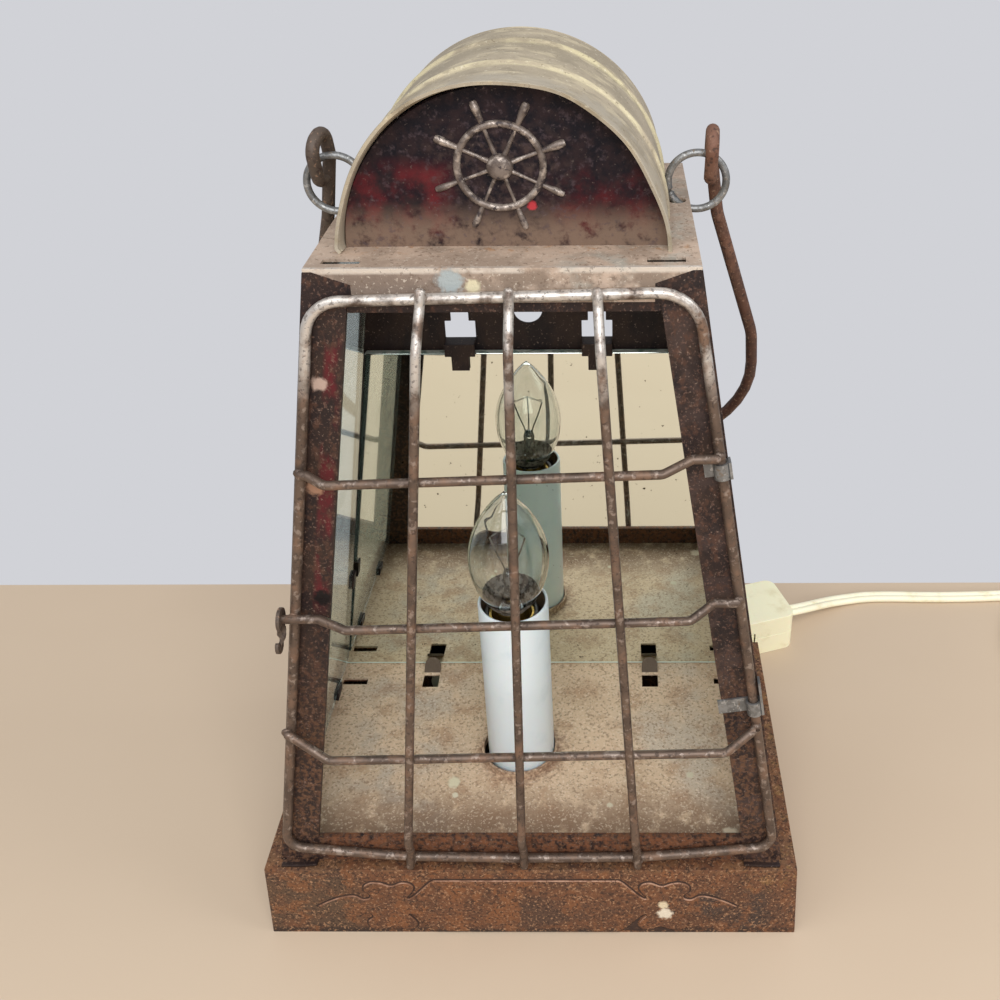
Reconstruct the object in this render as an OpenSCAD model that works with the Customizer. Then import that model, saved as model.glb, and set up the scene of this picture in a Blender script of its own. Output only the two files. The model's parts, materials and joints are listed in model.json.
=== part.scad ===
// Portable lantern: a sheet steel body on a shallow base, open at the front behind a
// hinged wire guard, with a half-barrel roof, a wire bail in two rings, a mirror and a
// candle lamp on a flat two-core cord.
// Frame: origin under the middle of the base, front towards -Y, up is +Z, millimetres.

/* [Base] */
// Width of the base box along its top edge
base_w = 161; // [158:0.5:180]
// Depth of the base box along its top edge
base_d = 100; // [98:0.5:120]
// Height of the base box
base_h = 27.5; // [25:0.5:40]
// How far each wall of the base leans out at the bottom
base_flare = 1; // [0.5:0.1:2]
// Width of the base's hem and top flange under the floor plate
base_lip = 4; // [3:0.5:6]
// Thickness of all the sheet steel
sheet = 0.8; // [0.6:0.05:1]

/* [Body] */
// Height of the tapered body, from the base to the top plate's upper face
body_h = 189; // [180:1:200]
// Width of the body at its foot
foot_w = 152.4; // [150:0.2:155]
// Width of the body at its top
top_w = 93.6; // [92:0.2:100]
// How far the front face stands ahead of the middle at its foot
front_foot = 46.3; // [45:0.1:48]
// How far the front face stands ahead of the middle at its top
front_top = 34.1; // [32:0.1:36]
// How far the back panel's outer face stands behind the middle
back_y = 47; // [46:0.1:48.5]
// How far the middles of the top plate's slots stand in from its sides
top_slot_in = 8.2; // [7:0.1:9]
// Length of the top plate's slots
top_slot_l = 9.2; // [6:0.1:10]
// Width of each front post
post_w = 11; // [9:0.5:12]
// Height of the front's bottom rail
rail_h = 9.3; // [8:0.1:14]
// Height of the folded flap over the front opening
flap_h = 8.6; // [7:0.2:10]
// Height of the front frame's lintel behind the flap
lintel_h = 11.3; // [10:0.1:14]
// Depth of the lip round the front opening
lip_d = 1.8; // [1.4:0.1:5]
// Margin round each side window
side_margin = 10; // [8:0.5:12]
// Thickness of the side glass
glass_t = 2; // [1.6:0.1:2.2]

/* [Roof] */
// How far the roof's sides stand in from the top plate's
roof_in = 6.8; // [5.8:0.1:10.8]
// How far the roof's front lip stands ahead of the middle
roof_front = 25; // [22:0.5:26]
// How far the roof's rear lip stands behind the middle
roof_rear = 46; // [40:0.5:47]
// Radius of the pressed beads
bead_r = 1.2; // [0.9:0.1:1.6]
// Place of the first bead along the depth
bead_a = -0.6; // [-6:0.2:6]
// Place of the second bead along the depth
bead_b = 26.4; // [20:0.2:32]
// How far the gables sit inside the roof's lips
gable_set = 5; // [3:0.5:8]
// Radius of the ship's wheel's rim, as a share of the roof's radius
wheel_share = 0.255; // [0.22:0.005:0.32]
// Reach of the ship's wheel's handles, as a share of the roof's radius
handle_share = 0.415; // [0.36:0.005:0.42]
// Height of the ship's wheel's centre, as a share of the roof's radius
wheel_rise = 0.5; // [0.47:0.005:0.52]

/* [Back and mirror] */
// Where the punched marks at the back are centred
back_mark = -1.3; // [-4:0.1:4]
// Distance of each mirror clip from that line
clip_reach = 22; // [18:0.5:30]
// Width of a mirror clip
clip_w = 9.8; // [8:0.2:12]
// Height of the mirror clips' fold over the mirror
clip_over = 3.8; // [3:0.1:8]
// Height of the hanging hole's centre over that fold
hang_up = 9.8; // [6:0.1:16]
// Radius of the hanging hole
hang_r = 4.6; // [3.5:0.1:6]
// Height of the mirror
mirror_h = 127; // [120:0.5:129]
// Gap between the mirror's edges and the side panels
mirror_gap = 1.2; // [0.8:0.1:3]
// Thickness of the mirror
mirror_t = 3; // [2:0.1:4]
// Where the mirror's front face stands on the floor
mirror_y = 37.5; // [34:0.5:38]
// How far the mirror leans back, in degrees
mirror_lean = 2.3; // [1.5:0.1:2.4]
// Length of the two bent-up mirror tabs and of their slots
tab_h = 6.4; // [6:0.1:8]
// Width of the two bent-up mirror tabs
tab_w = 5.8; // [4:0.2:8]

/* [Guard] */
// Diameter of the guard's frame wire
frame_wire = 2.8; // [2.4:0.1:3]
// Diameter of the guard's other wires
grid_wire = 2.5; // [2:0.1:2.7]
// How far the frame wire's middle runs inside the body's edges
guard_inset = 2; // [1.8:0.1:4]
// Height of the guard's lower edge over the base
guard_low = 7.5; // [5:0.5:12]
// Distance of the guard's upper edge below the top plate
guard_drop = 5.5; // [3:0.5:8]
// How much lower the guard's top left corner hangs
guard_droop = 2; // [0:0.1:3]
// How far the guard's foot wire sags in its middle
guard_sag = 4.7; // [0:0.1:4.8]
// Gap between the guard's frame and the front face
guard_gap = 0.4; // [0.3:0.1:0.8]
// How far the cross wires' middles run in front of the face
grid_reach = 7; // [6:0.1:9]
// Spacing of the upright wires at their tops
bar_step_top = 21.4; // [18:0.2:24]
// Spacing of the upright wires at their feet
bar_step_foot = 33.2; // [28:0.2:36]
// Sideways place of the middle upright wire at its top
bar_top_x = 1.5; // [-3:0.1:3]
// Sideways place of the middle upright wire at its foot
bar_foot_x = -1.4; // [-3:0.1:3]
// Running clearance in the hinge clips and the latch's eye
hinge_slip = 0.08; // [0.05:0.01:0.1]

/* [Bail and rings] */
// Diameter of the bail's wire
bail_wire = 3.6; // [3:0.1:4]
// Width of the bail across the corners that its legs and crosspiece point to
bail_w = 146; // [140:0.2:156]
// Length of the bail from its pivot
bail_len = 121.7; // [118:0.1:128]
// Bend radius of the bail's corners
bail_bend = 38; // [30:0.5:40]
// How far the hanging bail leans back, in degrees
bail_lean = 19.7; // [19.7:0.1:24]
// Sideways place of the bail's middle
bail_shift = 0.7; // [0:0.1:1.2]
// Diameter of the ring's wire
ring_wire = 2.1; // [1.6:0.1:2.2]
// Radius of each ring along the middle of its wire
ring_r = 7.8; // [7.6:0.1:8.2]
// How far the rings' centres stand out from the top plate's sides
ring_out = 1.8; // [1.2:0.1:2.2]
// Depth of the rings' holes
ring_y = 13; // [8:0.5:16]
// Height of the rings' centres over the top plate
ring_up = 5.4; // [5:0.1:5.6]

/* [Lamp] */
// Sideways place of the lamp's axis
lamp_x = -6.3; // [-8:0.1:8]
// Depth of the lamp's axis
lamp_y = -3.6; // [-8:0.1:4]
// Diameter of the candle sleeve
sleeve_d = 22; // [21:0.1:23]
// Wall of the candle sleeve
sleeve_t = 1; // [0.8:0.1:1.2]
// Height of the candle sleeve's top
sleeve_top = 92.8; // [88:0.2:100]
// How far the sleeve stands off the lamp's axis
sleeve_shift = 0.6; // [0:0.1:0.9]
// Inner radius of the floor's turned-up collar
collar_r = 12; // [12:0.1:14]
// Height of the floor's turned-up collar
collar_h = 2.5; // [1.5:0.1:4]
// Diameter of the lamp socket
socket_d = 17; // [16.4:0.1:18]
// Diameter of the bulb's screw base
cap_d = 12; // [11.8:0.1:12.2]
// Greatest diameter of the bulb
bulb_d = 24.8; // [22:0.2:28]
// Height of the bulb's glass over the sleeve
bulb_up = 40.4; // [36:0.2:48]
// Wall of the bulb's glass
bulb_t = 0.6; // [0.5:0.1:0.8]
// Outer diameter of the threaded nipple
nipple_d = 9.6; // [9:0.1:10]

/* [Cord] */
// Width of the flat cord
cord_w = 5.6; // [5.2:0.1:5.8]
// Thickness of the flat cord
cord_t = 2.8; // [2.6:0.1:3]
// Length of the tapered bushing outside the base
bushing_l = 20; // [18:0.5:22]
// Length of the line switch
switch_l = 50; // [46:0.5:52]
// Width of the line switch
switch_w = 24; // [22:0.5:26]
// Thickness of the line switch
switch_h = 17; // [16:0.5:18]
// Wall of the line switch
switch_t = 1.8; // [1.4:0.1:2.2]
// Loops in each layer of the coil
coil_loops = 4; // [2:1:5]
// Radius of the coil at the middle of its turns
coil_r = 30; // [28:0.5:33]
// Length of the plug's body
plug_l = 24; // [20:0.5:28]
// Width of the plug's body
plug_w = 21; // [18:0.5:24]
// Thickness of the plug's body
plug_h = 11; // [9:0.5:12]

/* [Hidden] */
$fn = 48;
slip = 0.1;                 // gap between sheets that are set into each other
weld = 0.15;                // how deep welded wires sink into each other

body_top = base_h + body_h;
floor_top = base_h + sheet;
side_lean = atan((foot_w - top_w) / 2 / body_h);
front_lean = atan((front_foot - front_top) / body_h);
side_sheet = sheet / cos(side_lean);
side_h = (body_h - sheet - slip) / cos(side_lean);
roof_r = top_w / 2 - roof_in;           // outer radius of the roof barrel
ring_x = top_w / 2 + ring_out;          // sideways place of each ring's centre
flap_in = top_w / 2 - post_w;          // half width of the flap below its mitres
flap_mitre = 4;                        // how far the flap's mitred corners drop
pane = side_margin - 4;                // margin round each side glass
pane_back = mirror_y - 0.5 - sheet - slip;
mirror_foot = floor_top + 0.05 + mirror_t * sin(mirror_lean);
clip_z = mirror_foot + mirror_h * cos(mirror_lean) + clip_over;
hang_z = clip_z + hang_up;
tab_x = 40;                            // sideways place of the floor's mirror tabs
tab_lean = 40;                         // how steeply those tabs rise to the mirror
tab_foot = mirror_y - 0.6 - tab_h * cos(tab_lean);
side_slot = [67.7, 27, 9, 3];          // place and size of the floor's outer slots
wheel_off = -0.6;                      // sideways place of the ship's wheel
wheel_r = wheel_share * roof_r;         // radius of its rim
handle_reach = handle_share * roof_r;   // reach of its handles
wheel_up = wheel_rise * roof_r;         // height of its centre over the top plate

function half_at(z) = foot_w / 2 - (z - base_h) * (foot_w - top_w) / 2 / body_h;
function front_at(z) = -front_foot + (z - base_h) * (front_foot - front_top) / body_h;
function up(z) = (z - base_h) / cos(front_lean);
// A point at height z on the front face, then w outwards
function on_face(x, z, w) = [x, front_at(z) - w * cos(front_lean), z + w * sin(front_lean)];
function unit(v) = v / norm(v);

// Guard
frame_w = guard_gap + frame_wire / 2;          // middle of the frame wire, off the face
end_w = frame_w + (frame_wire + grid_wire) / 2 - weld;
bar_w = grid_reach + grid_wire - weld;
guard_foot_z = base_h + guard_low;
guard_top_z = body_top - guard_drop;
// Each cross wire: height over the base, rises of its left and right ends, and how far
// in from the frame wire its left end, left knee, left run, right run and right knee lie
cross_wires = [
    [136.4, 0, 4.1, -0.4, 2, 7, 15, 7],
    [92.4, 0.2, 5.1, -4.4, 7, 14.5, 14, 7],
    [47.4, 5.4, 7.1, -0.4, 1, 12, 10, 1]
];
cross_tilt = 1.4;                              // rise of a cross wire's run to each side
upper_clip_z = base_h + 136.2;
lower_clip_z = base_h + 60.9;
clip_tall = 4.5;
latch_wire = 1.2;
latch_z = base_h + cross_wires[1][0] + cross_wires[1][1];
latch_l = 5.5;
latch_curl = 2.3;

// Bail
eye_off = 3.6;                                 // how far outside its ring's middle an eye hangs
bail_x = ring_x + eye_off;
pivot = [0, ring_y, body_top + ring_up + sqrt(ring_r * ring_r - eye_off * eye_off)];
bail_dir = [0, sin(bail_lean), -cos(bail_lean)];
bail_side = [0, cos(bail_lean), sin(bail_lean)];
// How far inside its middle a ring goes through the top plate
ring_hole = (sqrt(pow(ring_r, 2) - pow(ring_up, 2)) + sqrt(pow(ring_r, 2) - pow(ring_up + sheet, 2))) / 2;
eye_half = 4.2;                                // half the width of an eye, on its wire
eye_up = 7;
eye_down = 5.6;
eye_skew = 1;                                  // how far each half of an eye is bent sideways
// How far outwards an eye's wire may be bent and still turn clear inside its ring
eye_room = sqrt(
    pow(ring_r - (ring_wire + bail_wire) / 2 - 0.25, 2)
    - pow(sqrt(ring_r * ring_r - eye_off * eye_off) - eye_half, 2)
) - eye_off;
// A point on the bail: sideways, along it from the pivot, and across it
function on_bail(x, s, t) =
    let (out = sign(x) * (bail_shift + eye_skew * t / eye_half))
    pivot + [x + sign(x) * (s < 2 * eye_up ? min(out, eye_room) : out), 0, 0]
    + s * bail_dir + t * bail_side;

// Lamp
strap_z = 15.5;                                // underside of the socket strap
strap_t = 1.2;
strap_in = collar_r + 0.6;
strap_w = 12;
foot_l = 9;
nipple_low = 9.5;
nut_h = 2.5;
nut_d = 15;
socket_low = 58;
socket_top = sleeve_top - 3.8;
thread_d = nipple_d + 0.1;
shell_d = cap_d + 2.3;
cap_top = sleeve_top - 1.8;
glass_low = sleeve_top - 0.3;
bulb_mid = glass_low + 17.3;
neck_d = 13.2;

// Cord: chosen points of its two free stretches, the tail to the plug, and the coil
cord_z = cord_t / 2 * sin(60);
exit_x = -40;
exit_z = 10;
exit_wall = base_d / 2 + base_flare * (1 - exit_z / base_h);
switch_at = [49, 74, 0];
switch_turn = 18;
switch_mid = switch_h / 2;
screw_at = [switch_l - 10, 4];
coil_at = [232, 68];
coil_pitch = cord_w + 0.5;
coil_rise = cord_t + 0.4;
coil_out = coil_r + (coil_loops - 0.25) / 2 * coil_pitch;
coil_steps = 24;
to_switch = [
    [exit_x, exit_wall + bushing_l, exit_z], [-40, 77, 9.6], [-38.6, 83.5, 8.2], [-34.2, 89.3, 5.8],
    [-27, 93.2, 3.4], [-18, 94.2, 1.8], [-8, 92, 1.5], [2, 87.3, 1.5], [12, 81.6, 1.5],
    [21, 76.6, 2.2], [29.5, 73, 4], [37, 71.6, 6.4], [43.3, 72.2, 8.1], [49, 74, 8.5]
];
to_coil = [
    [96.55, 89.45, 8.5], [102.3, 91.3, 8.2], [108, 94.4, 7], [113.5, 98.2, 5.2], [119.5, 102, 3.4],
    [127, 105.4, 1.9], [136, 107.4, 1.5], [148, 107.8, 1.4], [162, 107.4, 1.3], [178, 107.5, 1.3],
    [194, 108.2, 1.3], [210, 109.1, 1.3], [coil_at.x - cord_w, coil_at.y + coil_out, 1.3]
];
prong_step = 6.35;
plug_at = [258, coil_at.y + coil_out, plug_h / 2];

// Shared shapes

// Children placed by three axes and an origin
module placed(e1, e2, e3, at) {
    multmatrix([
        [e1.x, e2.x, e3.x, at.x],
        [e1.y, e2.y, e3.y, at.y],
        [e1.z, e2.z, e3.z, at.z],
        [0, 0, 0, 1]
    ]) children();
}

// A round bar from a to b
module bar(a, b, d) {
    e3 = unit(b - a);
    e1 = unit(cross(abs(e3.z) < 0.9 ? [0, 0, 1] : [1, 0, 0], e3));
    placed(e1, cross(e3, e1), e3, a) cylinder(h = norm(b - a), d = d);
}

// How far a bend of radius r reaches along both legs of the corner at p
function reach(a, p, b, r) = r / tan(acos(unit(a - p) * unit(b - p)) / 2);

// Points and directions round the bend at corner p, as [point, direction], in n steps
function bend(a, p, b, r, n) = let (
    u = unit(a - p),
    v = unit(b - p),
    half = acos(u * v) / 2,
    centre = p + unit(u + v) * r / sin(half),
    e1 = unit(p + u * reach(a, p, b, r) - centre)
) [for (k = [0 : n]) let (t = k / n * (180 - 2 * half))
    [centre + r * (cos(t) * e1 - sin(t) * u), -sin(t) * e1 - cos(t) * u]];

// The corners' bends of a line through p, with a bend radius r[i] at each inner point
function bends(p, r, n) = [for (i = [1 : len(p) - 2]) each bend(p[i - 1], p[i], p[i + 1], r[i - 1], n)];

// Sideways directions carried along directions t without twisting
function carried(t, from) = [for (
    i = 0, s = unit(from - (from * t[0]) * t[0]);
    i < len(t);
    i = i + 1, s = i < len(t) ? unit(s - (s * t[i]) * t[i]) : s
) s];

// A round wire of n sides along stops = [point, direction], closed into a loop or not
module swept(stops, d, n, loop = false) {
    last = len(stops) - 1;
    t = [for (s = stops) s[1]];
    side = carried(t, abs(t[0].z) < 0.9 ? [0, 0, 1] : [1, 0, 0]);
    skin = [for (i = [0 : last], k = [0 : n - 1])
        stops[i][0] + d / 2 * (cos(k * 360 / n) * side[i] + sin(k * 360 / n) * cross(t[i], side[i]))];
    rings = last + 1;
    walls = [for (i = [0 : loop ? last : last - 1], k = [0 : n - 1]) let (j = (i + 1) % rings, m = (k + 1) % n) each [
        [i * n + k, j * n + k, i * n + m],
        [i * n + m, j * n + k, j * n + m]
    ]];
    caps = loop ? [] : [[for (k = [0 : n - 1]) k], [for (k = [n - 1 : -1 : 0]) last * n + k]];
    polyhedron(skin, concat(walls, caps));
}

// A bent wire through points p, with a bend radius r[i] at each inner point i
module wire(p, r, d, n = 10, steps = 4) {
    last = len(p) - 1;
    swept(concat(
        [[p[0], unit(p[1] - p[0])]], bends(p, r, steps), [[p[last], unit(p[last] - p[last - 1])]]
    ), d, n);
}

// A box whose walls lean in evenly towards the top
module leaning_box(w, d, flare, low, high) {
    function ring(z) = let (f = flare * (1 - z / base_h))
        [for (s = [[-1, -1], [1, -1], [1, 1], [-1, 1]]) [s.x * (w / 2 + f), s.y * (d / 2 + f), z]];
    polyhedron(
        concat(ring(low), ring(high)),
        [[0, 1, 2, 3], [7, 6, 5, 4], [0, 4, 5, 1], [1, 5, 6, 2], [2, 6, 7, 3], [3, 7, 4, 0]]
    );
}

// Children drawn on the front face: x sideways, y up the face, z outwards
module on_front() {
    translate([0, -front_foot, base_h]) rotate([90 - front_lean, 0, 0]) children();
}

// A plate drawn as depth and height on a side, from inner to outer along its normal
module on_side(inner, outer) {
    translate([foot_w / 2, 0, base_h]) rotate([0, -side_lean, 0]) translate([inner, 0, 0])
        rotate([90, 0, 90]) linear_extrude(outer - inner) children();
}

// A rounded rectangle from the origin along x, centred on y
module rounded(l, w, r) {
    translate([r, -w / 2]) square([l - 2 * r, w]);
    translate([0, r - w / 2]) square([l, w - 2 * r]);
    for (x = [r, l - r], y = [r - w / 2, w / 2 - r]) translate([x, y]) circle(r);
}

// Base

module floor_slots(low, high) {
    translate([0, 0, low]) linear_extrude(high - low) {
        for (s = [-1, 1]) {
            translate([back_mark + s * side_slot[0] - side_slot[2] / 2, side_slot[1]])
                square([side_slot[2], side_slot[3]]);
            translate([back_mark + s * tab_x - tab_w / 2, tab_foot - tab_h]) square([tab_w, tab_h]);
        }
    }
}

module base_box() {
    color("#8a6a4c") difference() {
        leaning_box(base_w, base_d, base_flare, 0, base_h);
        leaning_box(base_w - 2 * sheet, base_d - 2 * sheet, base_flare, sheet, base_h - sheet);
        translate([-base_w / 2 + base_lip, -base_d / 2 + base_lip, -1])
            cube([base_w - 2 * base_lip, base_d - 2 * base_lip, 1.5 + sheet]);
        translate([-foot_w / 2 + 3 * base_lip, -front_foot + 2 * base_lip, base_h / 2])
            cube([foot_w - 6 * base_lip, front_foot + back_y - 4 * base_lip, base_h]);
        floor_slots(base_h / 2, base_h + 1);
        translate([exit_x, base_d / 2 - 3, exit_z]) rotate([-90, 0, 0]) cylinder(h = 6, r = 4.2);
    }
}

module bottom_cover() {
    color("#6b5544") translate([-base_w / 2 + 2 * sheet, -base_d / 2 + 2 * sheet, sheet])
        cube([base_w - 4 * sheet, base_d - 4 * sheet, sheet]);
}

module floor_plate() {
    half = half_at(floor_top) - side_sheet - slip;
    front = front_at(floor_top) + sheet + slip;
    color("#a08a72") {
        difference() {
            union() {
                translate([-half, front, base_h]) cube([2 * half, back_y - sheet - slip - front, sheet]);
                translate([lamp_x, lamp_y, base_h]) cylinder(h = sheet + collar_h, r = collar_r + sheet);
            }
            translate([lamp_x, lamp_y, base_h - 1]) cylinder(h = sheet + collar_h + 2, r = collar_r);
            floor_slots(base_h - 1, floor_top + 1);
        }
        // Tabs bent up from their slots' back edges, with their tips before the mirror
        for (s = [-1, 1]) translate([back_mark + s * tab_x, tab_foot, base_h + sheet / 2])
            rotate([tab_lean, 0, 0]) translate([0, 0, -sheet / 2]) linear_extrude(sheet) {
                translate([-tab_w / 2, 0]) square([tab_w, tab_h - tab_w / 2]);
                translate([0, tab_h - tab_w / 2]) circle(d = tab_w);
            }
    }
}

// Body

module window_outline(grow) {
    low = base_h + rail_h - grow;
    high = body_top - flap_h + grow;
    polygon([
        for (p = [[-1, low], [1, low], [1, high], [-1, high]])
            [p.x * (half_at(p.y) - post_w + grow), up(p.y)]
    ]);
}

module flap_outline() {
    high = up(body_top);
    low = up(body_top - flap_h);
    polygon([
        [-top_w / 2, high], [-flap_in, high - flap_mitre], [-flap_in, low],
        [flap_in, low], [flap_in, high - flap_mitre], [top_w / 2, high]
    ]);
}

module front_frame() {
    high = up(body_top - sheet - slip);
    color("#5d4438") on_front() {
        translate([0, 0, -sheet]) linear_extrude(sheet) difference() {
            polygon([
                [-foot_w / 2, 0], [foot_w / 2, 0],
                [half_at(body_top - sheet - slip), high], [-half_at(body_top - sheet - slip), high]
            ]);
            window_outline(0);
            flap_outline();
        }
        // Lip turned in round the opening
        translate([0, 0, -lip_d]) linear_extrude(lip_d - sheet / 2) difference() {
            window_outline(sheet);
            window_outline(0);
            translate([-flap_in, up(body_top - flap_h) - sheet]) square([2 * flap_in, 3 * sheet]);
        }
        // Lintel behind the top plate's flap
        translate([-flap_in - 4, up(body_top - lintel_h), -2 * sheet])
            cube([2 * flap_in + 8, lintel_h - 2 * sheet, sheet]);
    }
}

module side_outline(inset) {
    low = slip + inset;
    high = side_h - inset;
    front = 0.05 + inset;
    polygon([
        [-front_foot + sheet + front, low], [back_y - inset, low], [back_y - inset, high],
        [-front_top + sheet + front, high]
    ]);
}

module side_window() {
    polygon([
        [-front_foot + side_margin, side_margin], [pane_back - 4, side_margin],
        [pane_back - 4, side_h - side_margin], [-front_top + side_margin, side_h - side_margin]
    ]);
}

// The right side panel: sheet, window, ring notch and four tabs over the glass
module side_panel() {
    back = -sheet - glass_t - 2 * slip;
    color("#5d4438") {
        on_side(-sheet, 0) difference() {
            side_outline(0);
            side_window();
            translate([ring_y - 1.9, side_h - 4.6]) square([3.8, 6]);
        }
        // Tabs: a stem beside the pane and a lip over it
        for (z = [40, side_h - 40]) {
            on_side(back - sheet, -sheet / 2) translate([pane_back + slip, z]) square([sheet, 6]);
            on_side(back - sheet, back) translate([pane_back - 2.5, z])
                square([2.5 + slip + sheet, 6]);
        }
        for (y = [-18, 18]) {
            on_side(back - sheet, -sheet / 2) translate([y - 3, pane - slip - sheet]) square([6, sheet]);
            on_side(back - sheet, back) translate([y - 3, pane - slip - sheet]) square([6, 2.5 + sheet]);
        }
    }
}

module side_glass() {
    color("#c9d6d2") on_side(-sheet - glass_t - slip, -sheet - slip) polygon([
        [-front_foot + pane, pane], [pane_back, pane], [pane_back, side_h - pane],
        [-front_top + pane, side_h - pane]
    ]);
}

module left_side_panel() {
    mirror([1, 0, 0]) side_panel();
}

module right_side_panel() {
    side_panel();
}

module left_glass() {
    mirror([1, 0, 0]) side_glass();
}

module right_glass() {
    side_glass();
}

module back_panel() {
    high = body_top - sheet - slip;
    fold_y = back_y - sheet;
    front_y = mirror_y + (clip_z - 9 - floor_top) * tan(mirror_lean) - sheet - 0.5;
    edge = side_sheet + slip;
    color("#4c3a33") {
        translate([0, back_y, 0]) rotate([90, 0, 0]) linear_extrude(sheet) difference() {
            polygon([
                [-half_at(base_h) + edge, base_h], [half_at(base_h) - edge, base_h],
                [half_at(high) - edge, high], [-half_at(high) + edge, high]
            ]);
            for (s = [-1, 1]) translate([back_mark + s * clip_reach, clip_z]) {
                translate([-clip_w / 2, 0]) square([clip_w, 6]);
                translate([-clip_w * 0.29, 5.6]) square([clip_w * 0.58, 3.4]);
            }
            translate([back_mark, hang_z]) circle(hang_r);
        }
        // Clips folded down over the mirror: a bridge, a wide part and a narrow tip
        for (s = [-1, 1]) translate([back_mark + s * clip_reach, 0, 0]) {
            translate([-clip_w / 2, front_y, clip_z - sheet]) cube([clip_w, fold_y - front_y + sheet / 2, sheet]);
            translate([-clip_w / 2, front_y, clip_z - 4.4]) cube([clip_w, sheet, 4.4]);
            translate([-clip_w * 0.29, front_y, clip_z - 9.4]) cube([clip_w * 0.58, sheet, 5.4]);
        }
    }
}

module top_plate() {
    color("#8d7a63") {
        difference() {
            translate([-top_w / 2, -front_top, body_top - sheet]) cube([top_w, front_top + back_y, sheet]);
            for (s = [-1, 1]) {
                translate([s * (top_w / 2 - top_slot_in) - top_slot_l / 2, -roof_front - 5.9, body_top - 2])
                    cube([top_slot_l, 3, 4]);
                translate([s * (ring_x - ring_hole), ring_y, body_top - 2])
                    cylinder(h = 4, r = ring_wire / 2 + 1.35);
            }
        }
        on_front() translate([0, 0, -sheet]) linear_extrude(sheet) flap_outline();
    }
}

// Roof

module on_roof() {
    translate([0, 0, body_top]) rotate([90, 0, 0]) children();
}

module roof_barrel() {
    color("#a3977f") on_roof() rotate_extrude(angle = 180, $fn = 96) {
        translate([roof_r - sheet, -roof_rear]) square([sheet, roof_rear + roof_front]);
        for (y = [bead_a, bead_b]) translate([roof_r - sheet / 2, -y]) circle(bead_r, $fn = 24);
        for (y = [-roof_front + 0.8, roof_rear - 0.8]) translate([roof_r - sheet / 2, -y]) circle(0.8, $fn = 24);
    }
}

module gable(y) {
    on_roof() translate([0, 0, -y - sheet]) rotate_extrude(angle = 180, $fn = 96)
        square([roof_r - sheet - slip, sheet]);
}

module front_gable() {
    face = roof_front - gable_set;
    color("#3f2622") {
        gable(-face);
        on_roof() translate([wheel_off, wheel_up, face]) {
            rotate_extrude() translate([wheel_r, 0]) circle(0.9, $fn = 24);
            cylinder(h = 1.6, r = 2.6);
            for (k = [0 : 7]) rotate([0, 0, k * 45 + 20]) {
                rotate([0, 90, 0]) cylinder(h = handle_reach - 1, d = 1.7, $fn = 24);
                translate([handle_reach - 3.5, 0, 0]) rotate([0, 90, 0])
                    cylinder(h = 3.5, d = 2.5, $fn = 24);
            }
        }
    }
}

module rear_gable() {
    color("#4c3a33") gable(roof_rear - gable_set);
}

// Mirror

module back_mirror() {
    color("#c9cdb8") translate([0, mirror_y, mirror_foot]) rotate([90 - mirror_lean, 0, 0])
        translate([0, 0, -mirror_t]) linear_extrude(mirror_t)
            polygon([for (c = [[-1, 0], [1, 0], [1, mirror_h], [-1, mirror_h]])
                [c.x * (half_at(mirror_foot + c.y) - side_sheet - mirror_gap), c.y]]);
}

// Guard

function guard_half(z) = half_at(z) - guard_inset;

module guard_frame() {
    low = guard_foot_z;
    high = guard_top_z;
    corners = [for (c = [[1, low], [1, high], [-1, high - guard_droop], [-1, low]])
        on_face(c[0] * guard_half(c[1]), c[1], frame_w)];
    sag = [for (c = [[-38, 0.83], [-3, 1], [34, 0.9]]) on_face(c[0], low - guard_sag * c[1], frame_w)];
    line = concat([sag[2]], corners, sag, [corners[0]]);
    color("#6a584c") swept(bends(line, [5, 11, 9, 5, 110, 160, 110], 5), frame_wire, 16, true);
}

module guard_upright_wires() {
    // Height and distance off the face, from the foot to the top
    path = [
        [guard_foot_z - 6, end_w], [guard_foot_z + 1, end_w], [guard_foot_z + 9.5, bar_w],
        [guard_top_z - 12, bar_w], [guard_top_z - 2.5, end_w], [guard_top_z + 2, end_w]
    ];
    run = guard_top_z - guard_foot_z - 18;
    color("#74624f") for (k = [-1 : 1]) wire([
        for (p = path) let (t = (p.x - guard_foot_z - 7) / run)
            on_face((1 - t) * (bar_foot_x + k * bar_step_foot) + t * (bar_top_x + k * bar_step_top), p.x, p.y)
    ], [4, 5, 6, 4], grid_wire, 10, 3);
}

module guard_cross_wires() {
    color("#74624f") for (c = cross_wires) {
        z = base_h + c[0];
        s = guard_half(z);
        wire([
            on_face(-s + c[3], z + c[1], end_w), on_face(-s + c[4], z + c[1], end_w),
            on_face(-s + c[5], z - cross_tilt, grid_reach), on_face(s - c[6], z + cross_tilt, grid_reach),
            on_face(guard_half(z + c[2]) - c[7], z + c[2], end_w), on_face(guard_half(z + c[2]), z + c[2], end_w)
        ], [1.5, 4, 4, 1.5], grid_wire, 10, 3);
    }
}

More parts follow.
